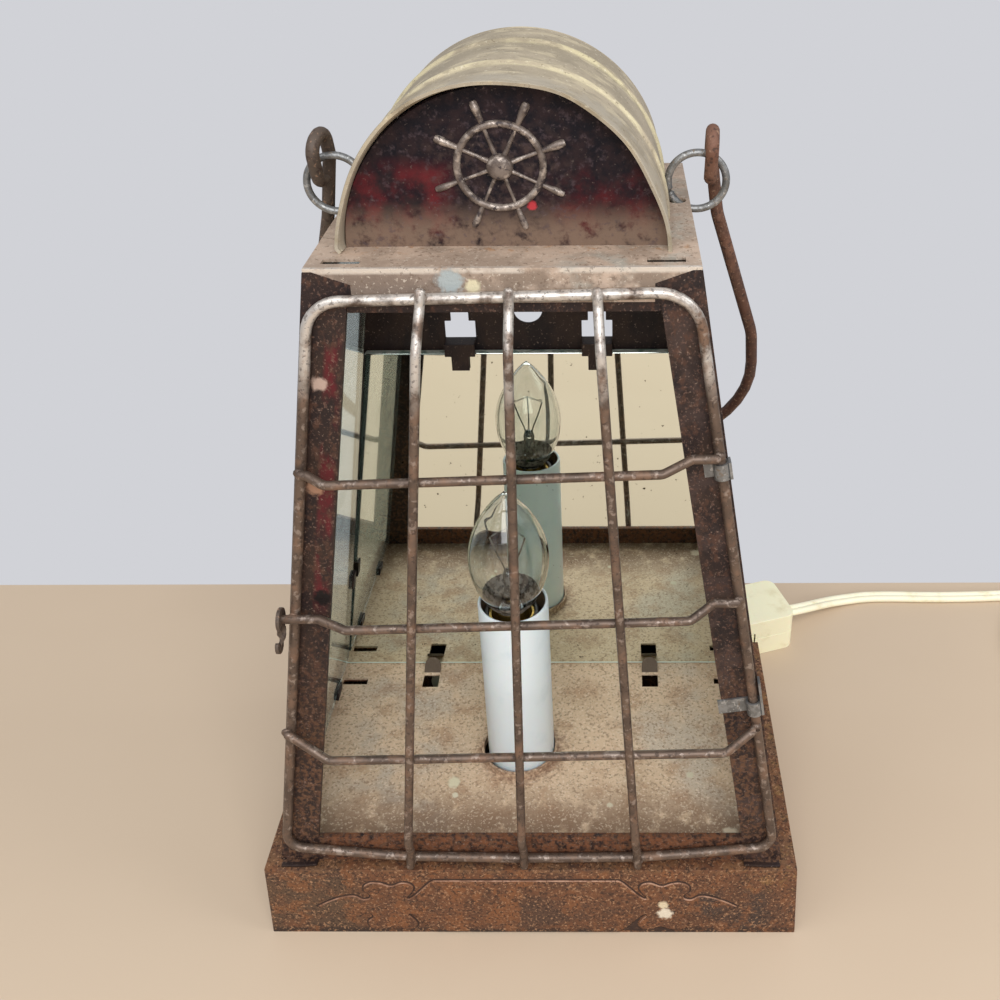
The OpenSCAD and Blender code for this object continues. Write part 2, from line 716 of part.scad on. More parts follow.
// A strip round the hinge wire at height z, its strap across the post and its tail
module hinge_clip(z, strap, tail) {
    at = on_face(guard_half(z), z, frame_w);
    e3 = unit(on_face(guard_half(z + 10), z + 10, frame_w) - at);
    e1 = [0, -cos(front_lean), sin(front_lean)];
    inner = frame_wire / 2 + hinge_slip;
    thick = 0.7;
    color("#a9aca4") placed(e1, cross(e3, e1), e3, at) {
        difference() {
            translate([0, 0, -clip_tall / 2]) cylinder(h = clip_tall, r = inner + thick);
            translate([0, 0, -clip_tall]) cylinder(h = 2 * clip_tall, r = inner);
            translate([-frame_w - 5, -5, -clip_tall]) cube([5, 10, 2 * clip_tall]);
        }
        difference() {
            translate([-frame_w, -inner - strap, -clip_tall / 2]) cube([thick, strap + inner, clip_tall]);
            translate([0, 0, -clip_tall]) cylinder(h = 2 * clip_tall, r = inner);
        }
        translate([-1.6, inner + thick / 2, -clip_tall / 2]) cube([3.2, thick, clip_tall / 2 + tail]);
    }
}

module upper_hinge_clip() {
    hinge_clip(upper_clip_z, 3, 2.5);
}

module lower_hinge_clip() {
    hinge_clip(lower_clip_z, 8.5, 9);
}

// A wire eye on the middle cross wire's left end, with a curled tail beside the post
module latch_clasp() {
    eye_r = grid_wire / 2 + hinge_slip + latch_wire / 2;
    at = on_face(-guard_half(latch_z) - 3.3, latch_z, end_w);
    tilt = tan(side_lean);
    color("#4a423c") translate(at) {
        rotate([0, 90, 0]) rotate_extrude() translate([eye_r, 0]) circle(d = latch_wire);
        wire([
            [0, 0, -eye_r], [-tilt * latch_l, 0, -eye_r - latch_l],
            [-tilt * latch_l - 0.6, -latch_curl, -eye_r - latch_l - latch_curl],
            [-tilt * latch_l - 0.8, -2 * latch_curl, -eye_r - latch_l],
            [-tilt * latch_l - 0.8, -latch_curl * 1.4, -eye_r - latch_l + latch_curl]
        ], [1.2, 1.2, 1], latch_wire, 8, 3);
    }
}

// Bail and rings

module bail_ring(x) {
    color("#9b9a90") translate([x, ring_y, body_top + ring_up]) rotate([90, 0, 0])
        rotate_extrude() translate([ring_r, 0]) circle(d = ring_wire, $fn = 32);
}

module left_ring() {
    bail_ring(-ring_x);
}

module right_ring() {
    bail_ring(ring_x);
}

module bail_handle() {
    // From the right eye's loose end, round the eye and down the right leg
    half = [
        [bail_x, eye_down, -0.9], [bail_x, eye_down, -eye_half], [bail_x, -eye_up, -eye_half],
        [bail_x, -eye_up, eye_half], [bail_x, 1.5, eye_half], [bail_x + 2, 19, 0],
        [bail_w / 2 - 4.9, bail_len - 54.7, 0], [bail_w / 2, bail_len, 0]
    ];
    turns = [3, 4.1, 4.1, 8, 14, 30, bail_bend];
    last = len(turns) - 1;
    color("#5b4132") wire(
        concat(
            [for (p = half) on_bail(p.x, p.y, p.z)],
            [for (i = [last + 1 : -1 : 0]) on_bail(-half[i].x, half[i].y, half[i].z)]
        ),
        concat(turns, [for (i = [last : -1 : 0]) turns[i]]), bail_wire, 12, 5
    );
}

// Lamp

module on_lamp() {
    translate([lamp_x, lamp_y, 0]) children();
}

module candle_sleeve() {
    low = strap_z + strap_t;
    color("#e6eeec") on_lamp() translate([sleeve_shift, 0, low]) difference() {
        cylinder(h = sleeve_top - low, d = sleeve_d);
        translate([0, 0, -1]) cylinder(h = sleeve_top - low + 2, d = sleeve_d - 2 * sleeve_t);
    }
}

module lamp_socket() {
    color("#2d2a28") on_lamp() difference() {
        translate([0, 0, socket_low]) cylinder(h = socket_top - socket_low, d = socket_d);
        translate([0, 0, socket_low - 1]) cylinder(h = 7, d = thread_d);
        translate([0, 0, socket_low]) cylinder(h = 10, d = 5);
        translate([0, 0, socket_low + 8]) cylinder(h = 40, d = shell_d + 0.1);
    }
}

module socket_shell() {
    low = socket_low + 8;
    color("#b79a55") on_lamp() difference() {
        translate([0, 0, low]) cylinder(h = socket_top - low - 1, d = shell_d);
        translate([0, 0, low + 1]) cylinder(h = 40, d = cap_d + 0.6);
    }
}

module socket_strap() {
    color("#7b6a58") on_lamp() difference() {
        rotate([90, 0, 0]) translate([0, 0, -strap_w / 2]) linear_extrude(strap_w) {
            translate([-strap_in - strap_t, strap_z]) square([2 * (strap_in + strap_t), strap_t]);
            for (s = [-1, 1]) {
                translate([s * (strap_in + strap_t / 2) - strap_t / 2, strap_z]) square([strap_t, base_h - strap_z]);
                translate([s * (strap_in + foot_l / 2) - foot_l / 2, base_h - strap_t])
                    square([foot_l, strap_t]);
            }
        }
        translate([0, 0, strap_z - 1]) cylinder(h = strap_t + 2, d = nipple_d + 0.2);
    }
}

module threaded_nipple() {
    color("#b5ab93") on_lamp() difference() {
        translate([0, 0, nipple_low]) cylinder(h = socket_low + 5 - nipple_low, d = nipple_d);
        translate([0, 0, nipple_low - 1]) cylinder(h = socket_low + 8, d = nipple_d - 3);
    }
}

module nipple_nuts() {
    color("#a39a86") on_lamp() for (z = [strap_z - nut_h, strap_z + strap_t]) translate([0, 0, z])
        difference() {
            cylinder(h = nut_h, d = nut_d, $fn = 6);
            translate([0, 0, -1]) cylinder(h = nut_h + 2, d = thread_d);
        }
}

// Half width of the bulb's glass at height z
function bulb_half(z) = z < bulb_mid
    ? neck_d / 2 + (bulb_d - neck_d) / 2 * pow(sin(90 * (z - glass_low) / (bulb_mid - glass_low)), 0.75)
    : bulb_d / 2 * pow(cos(90 * (z - bulb_mid) / (sleeve_top + bulb_up - bulb_mid)), 0.8);

module bulb_glass() {
    tip = sleeve_top + bulb_up;
    heights = concat(
        [for (k = [0 : 7]) glass_low + (bulb_mid - glass_low) * (1 - cos(k * 90 / 8))],
        [for (k = [0 : 11]) bulb_mid + (tip - bulb_mid) * sin(k * 90 / 12)]
    );
    skin = [for (z = heights) [bulb_half(z), z]];
    hollow = [for (p = skin) if (p.y > glass_low + bulb_t && p.x > 3 * bulb_t) [p.x - bulb_t, p.y]];
    neck = neck_d / 2 - 1.2;
    color("#dfe8e6") on_lamp() rotate_extrude() difference() {
        polygon(concat([[0, cap_top - 4], [neck, cap_top - 4], [neck, glass_low]], skin, [[0, tip]]));
        polygon(concat(
            [[0, cap_top - 3.4], [neck - bulb_t, cap_top - 3.4], [neck - bulb_t, glass_low + bulb_t]],
            hollow, [[0, hollow[len(hollow) - 1].y + 1]]
        ));
    }
}

module bulb_mount() {
    low = cap_top - 3.4;
    top = bulb_mid - 6;
    color("#b9b4a4") on_lamp() {
        translate([0, 0, low]) cylinder(h = 1, r = neck_d / 2 - 2.2);
        translate([0, 0, low]) cylinder(h = top - low, r = 2.2);
        translate([0, 0, top]) sphere(2.2);
        for (s = [-1, 1]) bar([s * 1.2, 0, top], [s * 5.5, 0, bulb_mid + 7], 0.6);
        bar([0, 0, top], [0, 1.5, bulb_mid + 10], 0.5);
        for (s = [-1, 1]) bar([s * 5.5, 0, bulb_mid + 6.8], [0, 1.5, bulb_mid + 9.8], 0.5);
    }
}

module bulb_cap() {
    low = socket_low + 11;
    color("#c2b99d") on_lamp() difference() {
        union() {
            translate([0, 0, low + 2.5]) cylinder(h = cap_top - low - 2.5, d = cap_d);
            translate([0, 0, low]) cylinder(h = 3, d = 6);
        }
        translate([0, 0, low + 6]) cylinder(h = 40, d = neck_d - 2.4 + 0.2);
    }
}

// Cord

function thin(v) = unit([v.x, v.y, 0]);

// One flattened ring of n corners round p, square to direction t
function cord_ring(p, t, n, turn) = let (
    side = [thin(t).y, -thin(t).x, 0],
    top = cross(side, unit(t))
) [for (k = [0 : n - 1])
    p + side * cord_w / 2 * cos(turn + k * 360 / n) + top * cord_t / 2 * sin(turn + k * 360 / n)];

// The direction of a route at each of its points
function headings(p) = [for (i = [0 : len(p) - 1])
    unit(p[min(i + 1, len(p) - 1)] - p[max(i - 1, 0)])];

// A closed tube of flattened rings along points p with directions t
module cord_tube(p, t, n, turn) {
    last = len(p) - 1;
    polyhedron(
        [for (i = [0 : last]) each cord_ring(p[i], t[i], n, turn)],
        concat(
            [[for (k = [0 : n - 1]) k]],
            [for (i = [0 : last - 1], k = [0 : n - 1]) each [
                [i * n + k, i * n + n + k, i * n + (k + 1) % n],
                [i * n + (k + 1) % n, i * n + n + k, i * n + n + (k + 1) % n]
            ]],
            [[for (k = [n - 1 : -1 : 0]) last * n + k]]
        )
    );
}

module cord_bushing() {
    color("#e6dfbd") translate([exit_x, exit_wall, exit_z]) rotate([-90, 0, 0]) {
        translate([0, 0, -2 * sheet - 2]) cylinder(h = 2, r = 5.4);
        translate([0, 0, -2 * sheet - 1]) cylinder(h = 2 * sheet + 2, r = 4.1);
        cylinder(h = 1.5, r = 5.4);
        rotate_extrude() polygon([[0, 1], [4.6, 1], [3.3, bushing_l], [0, bushing_l]]);
    }
}

module inner_lead() {
    start = exit_wall - 2 * sheet - 2;
    color("#e6dfbd") wire([
        [exit_x, start, exit_z], [exit_x, lamp_y + 14, exit_z - 3], [lamp_x, lamp_y, 6],
        [lamp_x, lamp_y, socket_low + 6]
    ], [10, 3], 2.4, 8);
}

module cord_to_switch() {
    t = headings(to_switch);
    color("#e6dfbd") cord_tube(
        to_switch,
        [for (i = [0 : len(t) - 1]) i == 0 ? [0, 1, 0]
            : i == len(t) - 1 ? [cos(switch_turn), sin(switch_turn), 0] : t[i]],
        8, 22.5
    );
}

module on_switch() {
    translate(switch_at) rotate([0, 0, switch_turn]) children();
}

wheel_at = [switch_l / 2, -switch_w / 2 + 6.5];
wheel_thick = 4.6;
thumb_r = 9;

module switch_shell(low, high, floor_low) {
    difference() {
        translate([0, 0, low]) linear_extrude(high - low) rounded(switch_l, switch_w, 4);
        translate([switch_t, 0, floor_low]) linear_extrude((high - low) - switch_t)
            rounded(switch_l - 2 * switch_t, switch_w - 2 * switch_t, 3);
        translate([wheel_at.x, wheel_at.y, switch_mid - wheel_thick / 2 - 0.4])
            cylinder(h = wheel_thick + 0.8, r = thumb_r + 0.6);
    }
}

module switch_lower_shell() {
    color("#e9e2bf") on_switch() {
        difference() {
            switch_shell(0, switch_mid, switch_t);
            translate([screw_at.x, screw_at.y, -1]) {
                cylinder(h = 2, r = 2.8);
                cylinder(h = switch_mid, r = 1.35);
            }
        }
        translate([wheel_at.x, wheel_at.y, switch_t / 2])
            cylinder(h = switch_mid + wheel_thick / 2 + 0.8 - switch_t / 2, r = 1.5);
        translate([wheel_at.x, wheel_at.y, switch_t / 2])
            cylinder(h = switch_mid - wheel_thick / 2 - 0.2 - switch_t / 2, r = 3);
    }
}

module switch_upper_shell() {
    color("#e9e2bf") on_switch() difference() {
        union() {
            switch_shell(switch_mid, switch_h, switch_mid);
            translate([screw_at.x, screw_at.y, switch_mid]) cylinder(h = switch_h - switch_mid - 1, r = 2.6);
        }
        translate([screw_at.x, screw_at.y, switch_mid - 1]) cylinder(h = 6, r = 1.3);
    }
}

module switch_wheel() {
    color("#d9cfa4") on_switch() translate([wheel_at.x, wheel_at.y, switch_mid - wheel_thick / 2])
        difference() {
            cylinder(h = wheel_thick, r = thumb_r);
            translate([0, 0, -1]) cylinder(h = wheel_thick + 2, r = 1.5 + hinge_slip);
            for (k = [0 : 23]) rotate([0, 0, k * 15]) translate([thumb_r + 0.3, 0, -1])
                cylinder(h = wheel_thick + 2, r = 0.7, $fn = 16);
        }
}

module switch_screw() {
    color("#b5b2a8") on_switch() translate([screw_at.x, screw_at.y, 0.1]) {
        cylinder(h = switch_mid + 3.4, r = 1.2);
        cylinder(h = 0.9, r = 2.6);
    }
}

module cord_to_coil() {
    t = headings(to_coil);
    color("#e6dfbd") cord_tube(
        to_coil,
        [for (i = [0 : len(t) - 1]) i == 0 ? [cos(switch_turn), sin(switch_turn), 0]
            : i == len(t) - 1 ? [1, 0, 0] : t[i]],
        8, 22.5
    );
}

// The coil's centreline: in along the lower layer, up a layer at the inmost half turn,
// and out along the upper layer; k counts steps of the turn
coil_inner = coil_out - (coil_loops - 0.25) * coil_pitch;
coil_half = coil_loops * coil_steps - coil_steps / 4;
function coil_point(k) = let (
    in = min(k, coil_half) / coil_half,
    out = max(0, k - coil_half - coil_steps / 2) / coil_half,
    r = coil_out + (coil_inner - coil_out) * (in - out),
    climb = min(1, max(0, (k - coil_half) / (coil_steps / 2))),
    turn = 90 - k * 360 / coil_steps
) [coil_at.x + r * cos(turn), coil_at.y + r * sin(turn), cord_z + coil_rise * climb];

coil_count = 2 * coil_half + coil_steps / 2;
coil_path = concat(
    [[coil_at.x - cord_w, coil_at.y + coil_out, cord_z]],
    [for (k = [0 : coil_count]) coil_point(k)],
    [[coil_at.x + cord_w, coil_at.y + coil_out, cord_z + coil_rise]]
);

// The least gap between turns that lie beside or over each other
coil_beside = min([for (k = [0 : coil_half - coil_steps])
    norm(coil_point(k) - coil_point(k + coil_steps)) - cord_w]);
coil_over = coil_rise - cord_t * sin(60);
echo(least_gap_in_coil = min(coil_beside, coil_over));

module cord_coil() {
    t = headings(coil_path);
    last = len(t) - 1;
    color("#e6dfbd") cord_tube(
        coil_path, [for (i = [0 : last]) i == 0 || i == last ? [1, 0, 0] : t[i]], 6, 0
    );
}

module cord_to_plug() {
    from = coil_path[len(coil_path) - 1];
    rise = plug_at.z - from.z;
    route = [from, from + [6, 0, rise * 0.15], from + [13, 0, rise * 0.6], [plug_at.x, from.y, plug_at.z]];
    t = headings(route);
    color("#e6dfbd") cord_tube(route, [for (i = [0 : 3]) i == 0 || i == 3 ? [1, 0, 0] : t[i]], 8, 22.5);
}

module plug_body() {
    color("#e9e2bf") translate([plug_at.x, plug_at.y, plug_at.z]) hull() {
        for (y = [-1, 1]) translate([1, y * 2.2, 0]) rotate([0, 90, 0]) cylinder(h = 1, d = 5, $fn = 24);
        translate([1, -4.5, -3]) mirror([1, 0, 0]) cube([1, 9, 6]);
        translate([10, -plug_w / 2, -plug_h / 2]) cube([plug_l - 10, plug_w, plug_h]);
    }
}

module plug_prongs() {
    prong = [16, 1.5, 6.3];
    color("#c9b777") for (s = [-1, 1])
        translate(plug_at + [plug_l, s * prong_step - prong.y / 2, -prong.z / 2]) cube(prong);
}

base_box();
bottom_cover();
floor_plate();
front_frame();
left_side_panel();
right_side_panel();
back_panel();
top_plate();
roof_barrel();
front_gable();
rear_gable();
back_mirror();
left_glass();
right_glass();
guard_frame();
guard_upright_wires();
guard_cross_wires();
upper_hinge_clip();
lower_hinge_clip();
latch_clasp();
left_ring();
right_ring();
bail_handle();
candle_sleeve();
lamp_socket();
socket_shell();
socket_strap();
threaded_nipple();
nipple_nuts();
bulb_glass();
bulb_mount();
bulb_cap();
cord_bushing();
inner_lead();
cord_to_switch();
switch_lower_shell();
switch_upper_shell();
switch_wheel();
switch_screw();
cord_to_coil();
cord_coil();
cord_to_plug();
plug_body();
plug_prongs();
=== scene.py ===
import json
import math

import bmesh
import bpy
from mathutils import Matrix, Vector


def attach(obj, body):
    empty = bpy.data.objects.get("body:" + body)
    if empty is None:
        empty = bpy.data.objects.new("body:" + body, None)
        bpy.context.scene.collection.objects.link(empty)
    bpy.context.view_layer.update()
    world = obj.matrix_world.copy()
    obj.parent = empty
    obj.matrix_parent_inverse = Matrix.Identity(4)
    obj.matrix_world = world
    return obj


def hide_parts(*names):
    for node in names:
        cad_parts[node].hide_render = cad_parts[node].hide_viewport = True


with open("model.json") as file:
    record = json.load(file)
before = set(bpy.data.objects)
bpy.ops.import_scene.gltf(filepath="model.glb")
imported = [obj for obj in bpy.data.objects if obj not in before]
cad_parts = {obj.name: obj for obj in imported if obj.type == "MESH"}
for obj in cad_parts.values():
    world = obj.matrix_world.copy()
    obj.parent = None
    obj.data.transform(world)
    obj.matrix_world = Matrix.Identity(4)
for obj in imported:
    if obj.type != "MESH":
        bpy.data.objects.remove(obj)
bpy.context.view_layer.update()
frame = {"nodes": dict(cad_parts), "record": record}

bpy.ops.object.select_all(action="DESELECT")
bpy.context.scene.view_settings.view_transform = "Standard"

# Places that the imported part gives, in mm
bodyMeasures = {
    "baseTop": 27.5, "top": 216.5, "footHalf": 76.2, "topHalf": 46.8,
    "frontFoot": 46.3, "frontTop": 34.1, "back": 47.0, "sheet": 0.8,
}
bodyOf = {n: body for body, nodes in frame["record"]["behaviour"]["bodies"].items() for n in nodes}


def mm(x, y, z):
    return Vector((x, y, z)) / 1000


def halfAt(z):
    m = bodyMeasures
    return m["footHalf"] - (z - m["baseTop"]) * (m["footHalf"] - m["topHalf"]) / (m["top"] - m["baseTop"])


def onFace(x, z, w):
    # a point at height z on the sloping front face, then w outwards
    m = bodyMeasures
    lean = math.atan((m["frontFoot"] - m["frontTop"]) / (m["top"] - m["baseTop"]))
    front = -m["frontFoot"] + (z - m["baseTop"]) * math.tan(lean)
    return mm(x, front - w * math.cos(lean), z + w * math.sin(lean))


# Camera, at the place that the body's corners give
viewPoint = {
    "place": (25.9, -268.7, 313.3), "down": 27.94, "left": 0.81, "roll": 0.66,
    "lens": 39.1, "shift": (-0.0998, -0.1276),
}
bpy.ops.object.camera_add()
camera = bpy.context.object
camera.matrix_world = (
    Matrix.Translation(mm(*viewPoint["place"]))
    @ Matrix.Rotation(math.radians(viewPoint["left"]), 4, "Z")
    @ Matrix.Rotation(math.radians(90 - viewPoint["down"]), 4, "X")
    @ Matrix.Rotation(math.radians(-viewPoint["roll"]), 4, "Z")
)
camera.data.lens = viewPoint["lens"]
camera.data.sensor_width = 36
camera.data.shift_x, camera.data.shift_y = viewPoint["shift"]
camera.data.clip_start = 0.01
bpy.context.scene.camera = camera
print("camera set")


# Helpers for nodes and materials

def srgb(text):
    parts = [int(text[i:i + 2], 16) / 255 for i in (1, 3, 5)]
    return tuple(c / 12.92 if c <= 0.04045 else ((c + 0.055) / 1.055) ** 2.4 for c in parts) + (1.0,)


def addNode(tree, kind, inputs, **settings):
    node = tree.nodes.new(kind)
    for name, value in settings.items():
        setattr(node, name, value)
    for socket, value in inputs.items():
        if isinstance(value, bpy.types.NodeSocket):
            tree.links.new(value, node.inputs[socket])
        else:
            node.inputs[socket].default_value = value
    return node


def startMaterial(name, **sockets):
    material = bpy.data.materials.new(name)
    material.use_nodes = True
    shader = material.node_tree.nodes["Principled BSDF"]
    for socket, value in sockets.items():
        shader.inputs[socket.replace("_", " ")].default_value = value
    return material, material.node_tree, shader


def patches(tree, point, size, start, soft=0.06, stretch=(1, 1, 1), seed=0.0):
    # 1 inside patches about size mm across; a higher start leaves fewer of them
    moved = addNode(tree, "ShaderNodeMapping", {
        "Vector": point, "Location": (seed, seed * 0.7, seed * 1.3), "Scale": stretch}).outputs[0]
    noise = addNode(tree, "ShaderNodeTexNoise", {
        "Vector": moved, "Scale": 1000 / size, "Detail": 5.0, "Roughness": 0.6}).outputs[0]
    return addNode(tree, "ShaderNodeMapRange", {
        "Value": noise, "From Min": start, "From Max": start + soft}, interpolation_type="SMOOTHSTEP").outputs[0]


def inBand(tree, point, along, centre, half, fade):
    # 1 within half mm of a plane square to along, fading out over fade mm
    reach = addNode(tree, "ShaderNodeVectorMath", {0: point, 1: along}, operation="DOT_PRODUCT").outputs["Value"]
    off = addNode(tree, "ShaderNodeMath", {0: reach, 1: centre / 1000}, operation="SUBTRACT").outputs[0]
    away = addNode(tree, "ShaderNodeMath", {0: off}, operation="ABSOLUTE").outputs[0]
    return addNode(tree, "ShaderNodeMapRange", {
        "Value": away, "From Min": half / 1000, "From Max": (half + fade) / 1000,
        "To Min": 1.0, "To Max": 0.0}, interpolation_type="SMOOTHSTEP").outputs[0]


def nearSpot(tree, point, place, radius):
    # 1 in a ragged spot of that radius round a place, both in mm
    rough = addNode(tree, "ShaderNodeTexNoise", {"Vector": point, "Scale": 900.0, "Detail": 3.0}).outputs[0]
    away = addNode(tree, "ShaderNodeVectorMath", {0: point, 1: mm(*place)}, operation="DISTANCE").outputs["Value"]
    edge = addNode(tree, "ShaderNodeMath", {0: rough, 1: -radius / 1000, 2: away}, operation="MULTIPLY_ADD").outputs[0]
    return addNode(tree, "ShaderNodeMapRange", {
        "Value": edge, "From Min": 0.2 * radius / 1000, "From Max": 0.65 * radius / 1000,
        "To Min": 1.0, "To Max": 0.0}).outputs[0]


def weatheredSteel(name, look):
    # Old tinned sheet or wire: layers of paint, dust, rust and bare metal over a mottled base
    material, tree, shader = startMaterial(name, Specular_IOR_Level=look.get("specular", 0.5))
    point = addNode(tree, "ShaderNodeTexCoord", {}).outputs["Object"]
    colour = addNode(tree, "ShaderNodeMix", {
        0: patches(tree, point, look["mottle"], 0.38, 0.24), 6: srgb(look["colours"][0]), 7: srgb(look["colours"][1]),
    }, data_type="RGBA").outputs[2]
    rough, metal, height = look["rough"], look["metal"], 0.0
    for layer in look["layers"]:
        cover = patches(tree, point, layer["size"], layer["start"], layer.get("soft", 0.06),
                        layer.get("stretch", (1, 1, 1)), layer.get("seed", 0.0))
        for band in layer.get("bands", []):
            cover = addNode(tree, "ShaderNodeMath", {0: cover, 1: inBand(tree, point, *band)},
                            operation="MULTIPLY").outputs[0]
        cover = addNode(tree, "ShaderNodeMath", {0: cover, 1: layer.get("most", 1.0)},
                        operation="MULTIPLY").outputs[0]
        colour = addNode(tree, "ShaderNodeMix", {0: cover, 6: colour, 7: srgb(layer["colour"])},
                         data_type="RGBA").outputs[2]
        rough = addNode(tree, "ShaderNodeMix", {0: cover, 2: rough, 3: layer.get("rough", look["rough"])}).outputs[0]
        metal = addNode(tree, "ShaderNodeMix", {0: cover, 2: metal, 3: layer.get("metal", look["metal"])}).outputs[0]
        height = addNode(tree, "ShaderNodeMath", {0: cover, 1: layer.get("relief", 0.02), 2: height},
                         operation="MULTIPLY_ADD").outputs[0]
    for place, radius, spotColour in look.get("spots", []):
        colour = addNode(tree, "ShaderNodeMix", {
            0: nearSpot(tree, point, place, radius), 6: colour, 7: srgb(spotColour)}, data_type="RGBA").outputs[2]
    grain = addNode(tree, "ShaderNodeTexNoise", {"Vector": point, "Scale": 1400.0, "Detail": 4.0}).outputs[0]
    dents = addNode(tree, "ShaderNodeTexNoise", {"Vector": point, "Scale": 45.0, "Detail": 1.0}).outputs[0]
    height = addNode(tree, "ShaderNodeMath", {0: grain, 1: look.get("grain", 0.09), 2: height},
                     operation="MULTIPLY_ADD").outputs[0]
    height = addNode(tree, "ShaderNodeMath", {0: dents, 1: look.get("dents", 0.5), 2: height},
                     operation="MULTIPLY_ADD").outputs[0]
    bump = addNode(tree, "ShaderNodeBump", {"Height": height, "Strength": 1.0, "Distance": 0.001}).outputs[0]
    tree.links.new(colour, shader.inputs["Base Color"])
    tree.links.new(rough, shader.inputs["Roughness"])
    tree.links.new(metal, shader.inputs["Metallic"])
    tree.links.new(bump, shader.inputs["Normal"])
    return material


# Helpers for pieces

def pick(*pieces):
    bpy.ops.object.select_all(action="DESELECT")
    for piece in pieces:
        piece.select_set(True)
    bpy.context.view_layer.objects.active = pieces[0]


def applyModifier(piece, kind, **settings):
    pick(piece)
    modifier = piece.modifiers.new(kind.title(), kind)
    for name, value in settings.items():
        setattr(modifier, name, value)
    bpy.ops.object.modifier_apply(modifier=modifier.name)


def joined(pieces):
    pick(*pieces)
    bpy.ops.object.join()
    return bpy.context.object


def finishPiece(piece, name, material, body, replaced=(), smooth=35):
    piece.name = piece.data.name = name
    if material:
        piece.data.materials.clear()
        piece.data.materials.append(material)
    pick(piece)
    bpy.ops.object.transform_apply(location=True, rotation=True, scale=True)
    bpy.ops.object.shade_smooth_by_angle(angle=math.radians(smooth))
    if replaced:
        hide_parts(*replaced)
    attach(piece, body)
    return piece


def dressNode(node, name, material, bevel, segments=2, smooth=35, merged=True):
    # a copy of a CAD node with its doubles merged and its edges rounded by bevel mm;
    # flat faces round a window aren't merged, because they would fill it
    piece = frame["nodes"][node].copy()
    piece.data = piece.data.copy()
    piece.parent = None
    piece.matrix_world = Matrix.Identity(4)
    bpy.context.scene.collection.objects.link(piece)
    pick(piece)
    bpy.ops.mesh.customdata_custom_splitnormals_clear()
    bpy.ops.object.mode_set(mode="EDIT")
    bpy.ops.mesh.select_all(action="SELECT")
    bpy.ops.mesh.remove_doubles(threshold=0.000002)
    if merged:
        bpy.ops.mesh.dissolve_limited(angle_limit=math.radians(0.5))
    bpy.ops.object.mode_set(mode="OBJECT")
    applyModifier(piece, "BEVEL", width=bevel / 1000, segments=segments, limit_method="ANGLE",
                  angle_limit=math.radians(32), harden_normals=False, miter_outer="MITER_ARC")
    finishPiece(piece, name, material, bodyOf[node], [node], smooth)
    applyModifier(piece, "WEIGHTED_NORMAL", keep_sharp=True)
    return piece


def spunPiece(profile, centre, axis, angle=360, steps=48):
    # a profile drawn from point to point, then spun round an axis
    bpy.ops.object.select_all(action="DESELECT")
    bpy.ops.mesh.primitive_plane_add(size=0.001, location=profile[0])
    piece = bpy.context.object
    bpy.ops.object.mode_set(mode="EDIT")
    bpy.ops.mesh.merge(type="CENTER")
    for last, here in zip(profile, profile[1:]):
        bpy.ops.mesh.extrude_region_move(TRANSFORM_OT_translate={"value": here - last})
    bpy.ops.mesh.select_all(action="SELECT")
    bpy.ops.mesh.spin(steps=steps, angle=math.radians(angle), center=centre, axis=axis)
    bpy.ops.mesh.select_all(action="SELECT")
    bpy.ops.mesh.remove_doubles(threshold=0.000004)
    bpy.ops.mesh.normals_make_consistent(inside=False)
    bpy.ops.object.mode_set(mode="OBJECT")
    pick(piece)
    bpy.ops.object.transform_apply(location=True, rotation=True, scale=True)
    return piece


def bentLine(points, radii, steps=7, loop=False):
    # a line through points with an arc of the given radius at each inner corner
    corners = list(zip(points, points[1:], points[2:], radii))
    if loop:
        count = len(points)
        corners = [(points[i - 1], points[i], points[(i + 1) % count], radii[i]) for i in range(count)]
    line = [] if loop else [points[0]]
    for before, corner, after, radius in corners:
        u, v = (before - corner).normalized(), (after - corner).normalized()
        half = u.angle(v) / 2
        centre = corner + (u + v).normalized() * radius / math.sin(half)
        start = corner + u * radius / math.tan(half) - centre
        for k in range(steps + 1):
            turn = k / steps * (math.pi - 2 * half)
            line.append(centre + math.cos(turn) * start - math.sin(turn) * radius * u)
    return line if loop else line + [points[-1]]


def smoothLine(points, steps):
    # a smooth curve through the points, with steps parts between each two
    ends = [2 * points[0] - points[1], *points, 2 * points[-1] - points[-2]]
    line = []
    for a, b, c, d in zip(ends, ends[1:], ends[2:], ends[3:]):
        for k in range(steps):
            t = k / steps
            line.append(0.5 * (2 * b + (c - a) * t + (2 * a - 5 * b + 4 * c - d) * t * t
                               + (3 * b - a - 3 * c + d) * t ** 3))
    return line + [points[-1]]


def wireTube(lines, diameter, loop=False, sides=3):
    # round wires along lines, with their ends rounded off, as one mesh
    bpy.ops.object.select_all(action="DESELECT")
    bpy.ops.curve.primitive_nurbs_path_add()
    piece = bpy.context.object
    piece.data.splines.clear()
    for line in lines:
        sizes = [1.0] * len(line)
        if not loop:
            inset = 0.22 * diameter / 1000
            first, last = (line[1] - line[0]).normalized(), (line[-2] - line[-1]).normalized()
            line = [line[0], line[0] + first * inset, *line[1:-1], line[-1] + last * inset, line[-1]]
            sizes = [0.6] + [1.0] * (len(line) - 2) + [0.6]
        spline = piece.data.splines.new("POLY")
        spline.points.add(len(line) - 1)
        for target, place, size in zip(spline.points, line, sizes):
            target.co = (*place, 1.0)
            target.radius = size
        spline.use_cyclic_u = loop
    piece.data.bevel_depth = diameter / 2000
    piece.data.bevel_resolution = sides
    piece.data.use_fill_caps = True
    pick(piece)
    bpy.ops.object.convert(target="MESH")
    return bpy.context.object


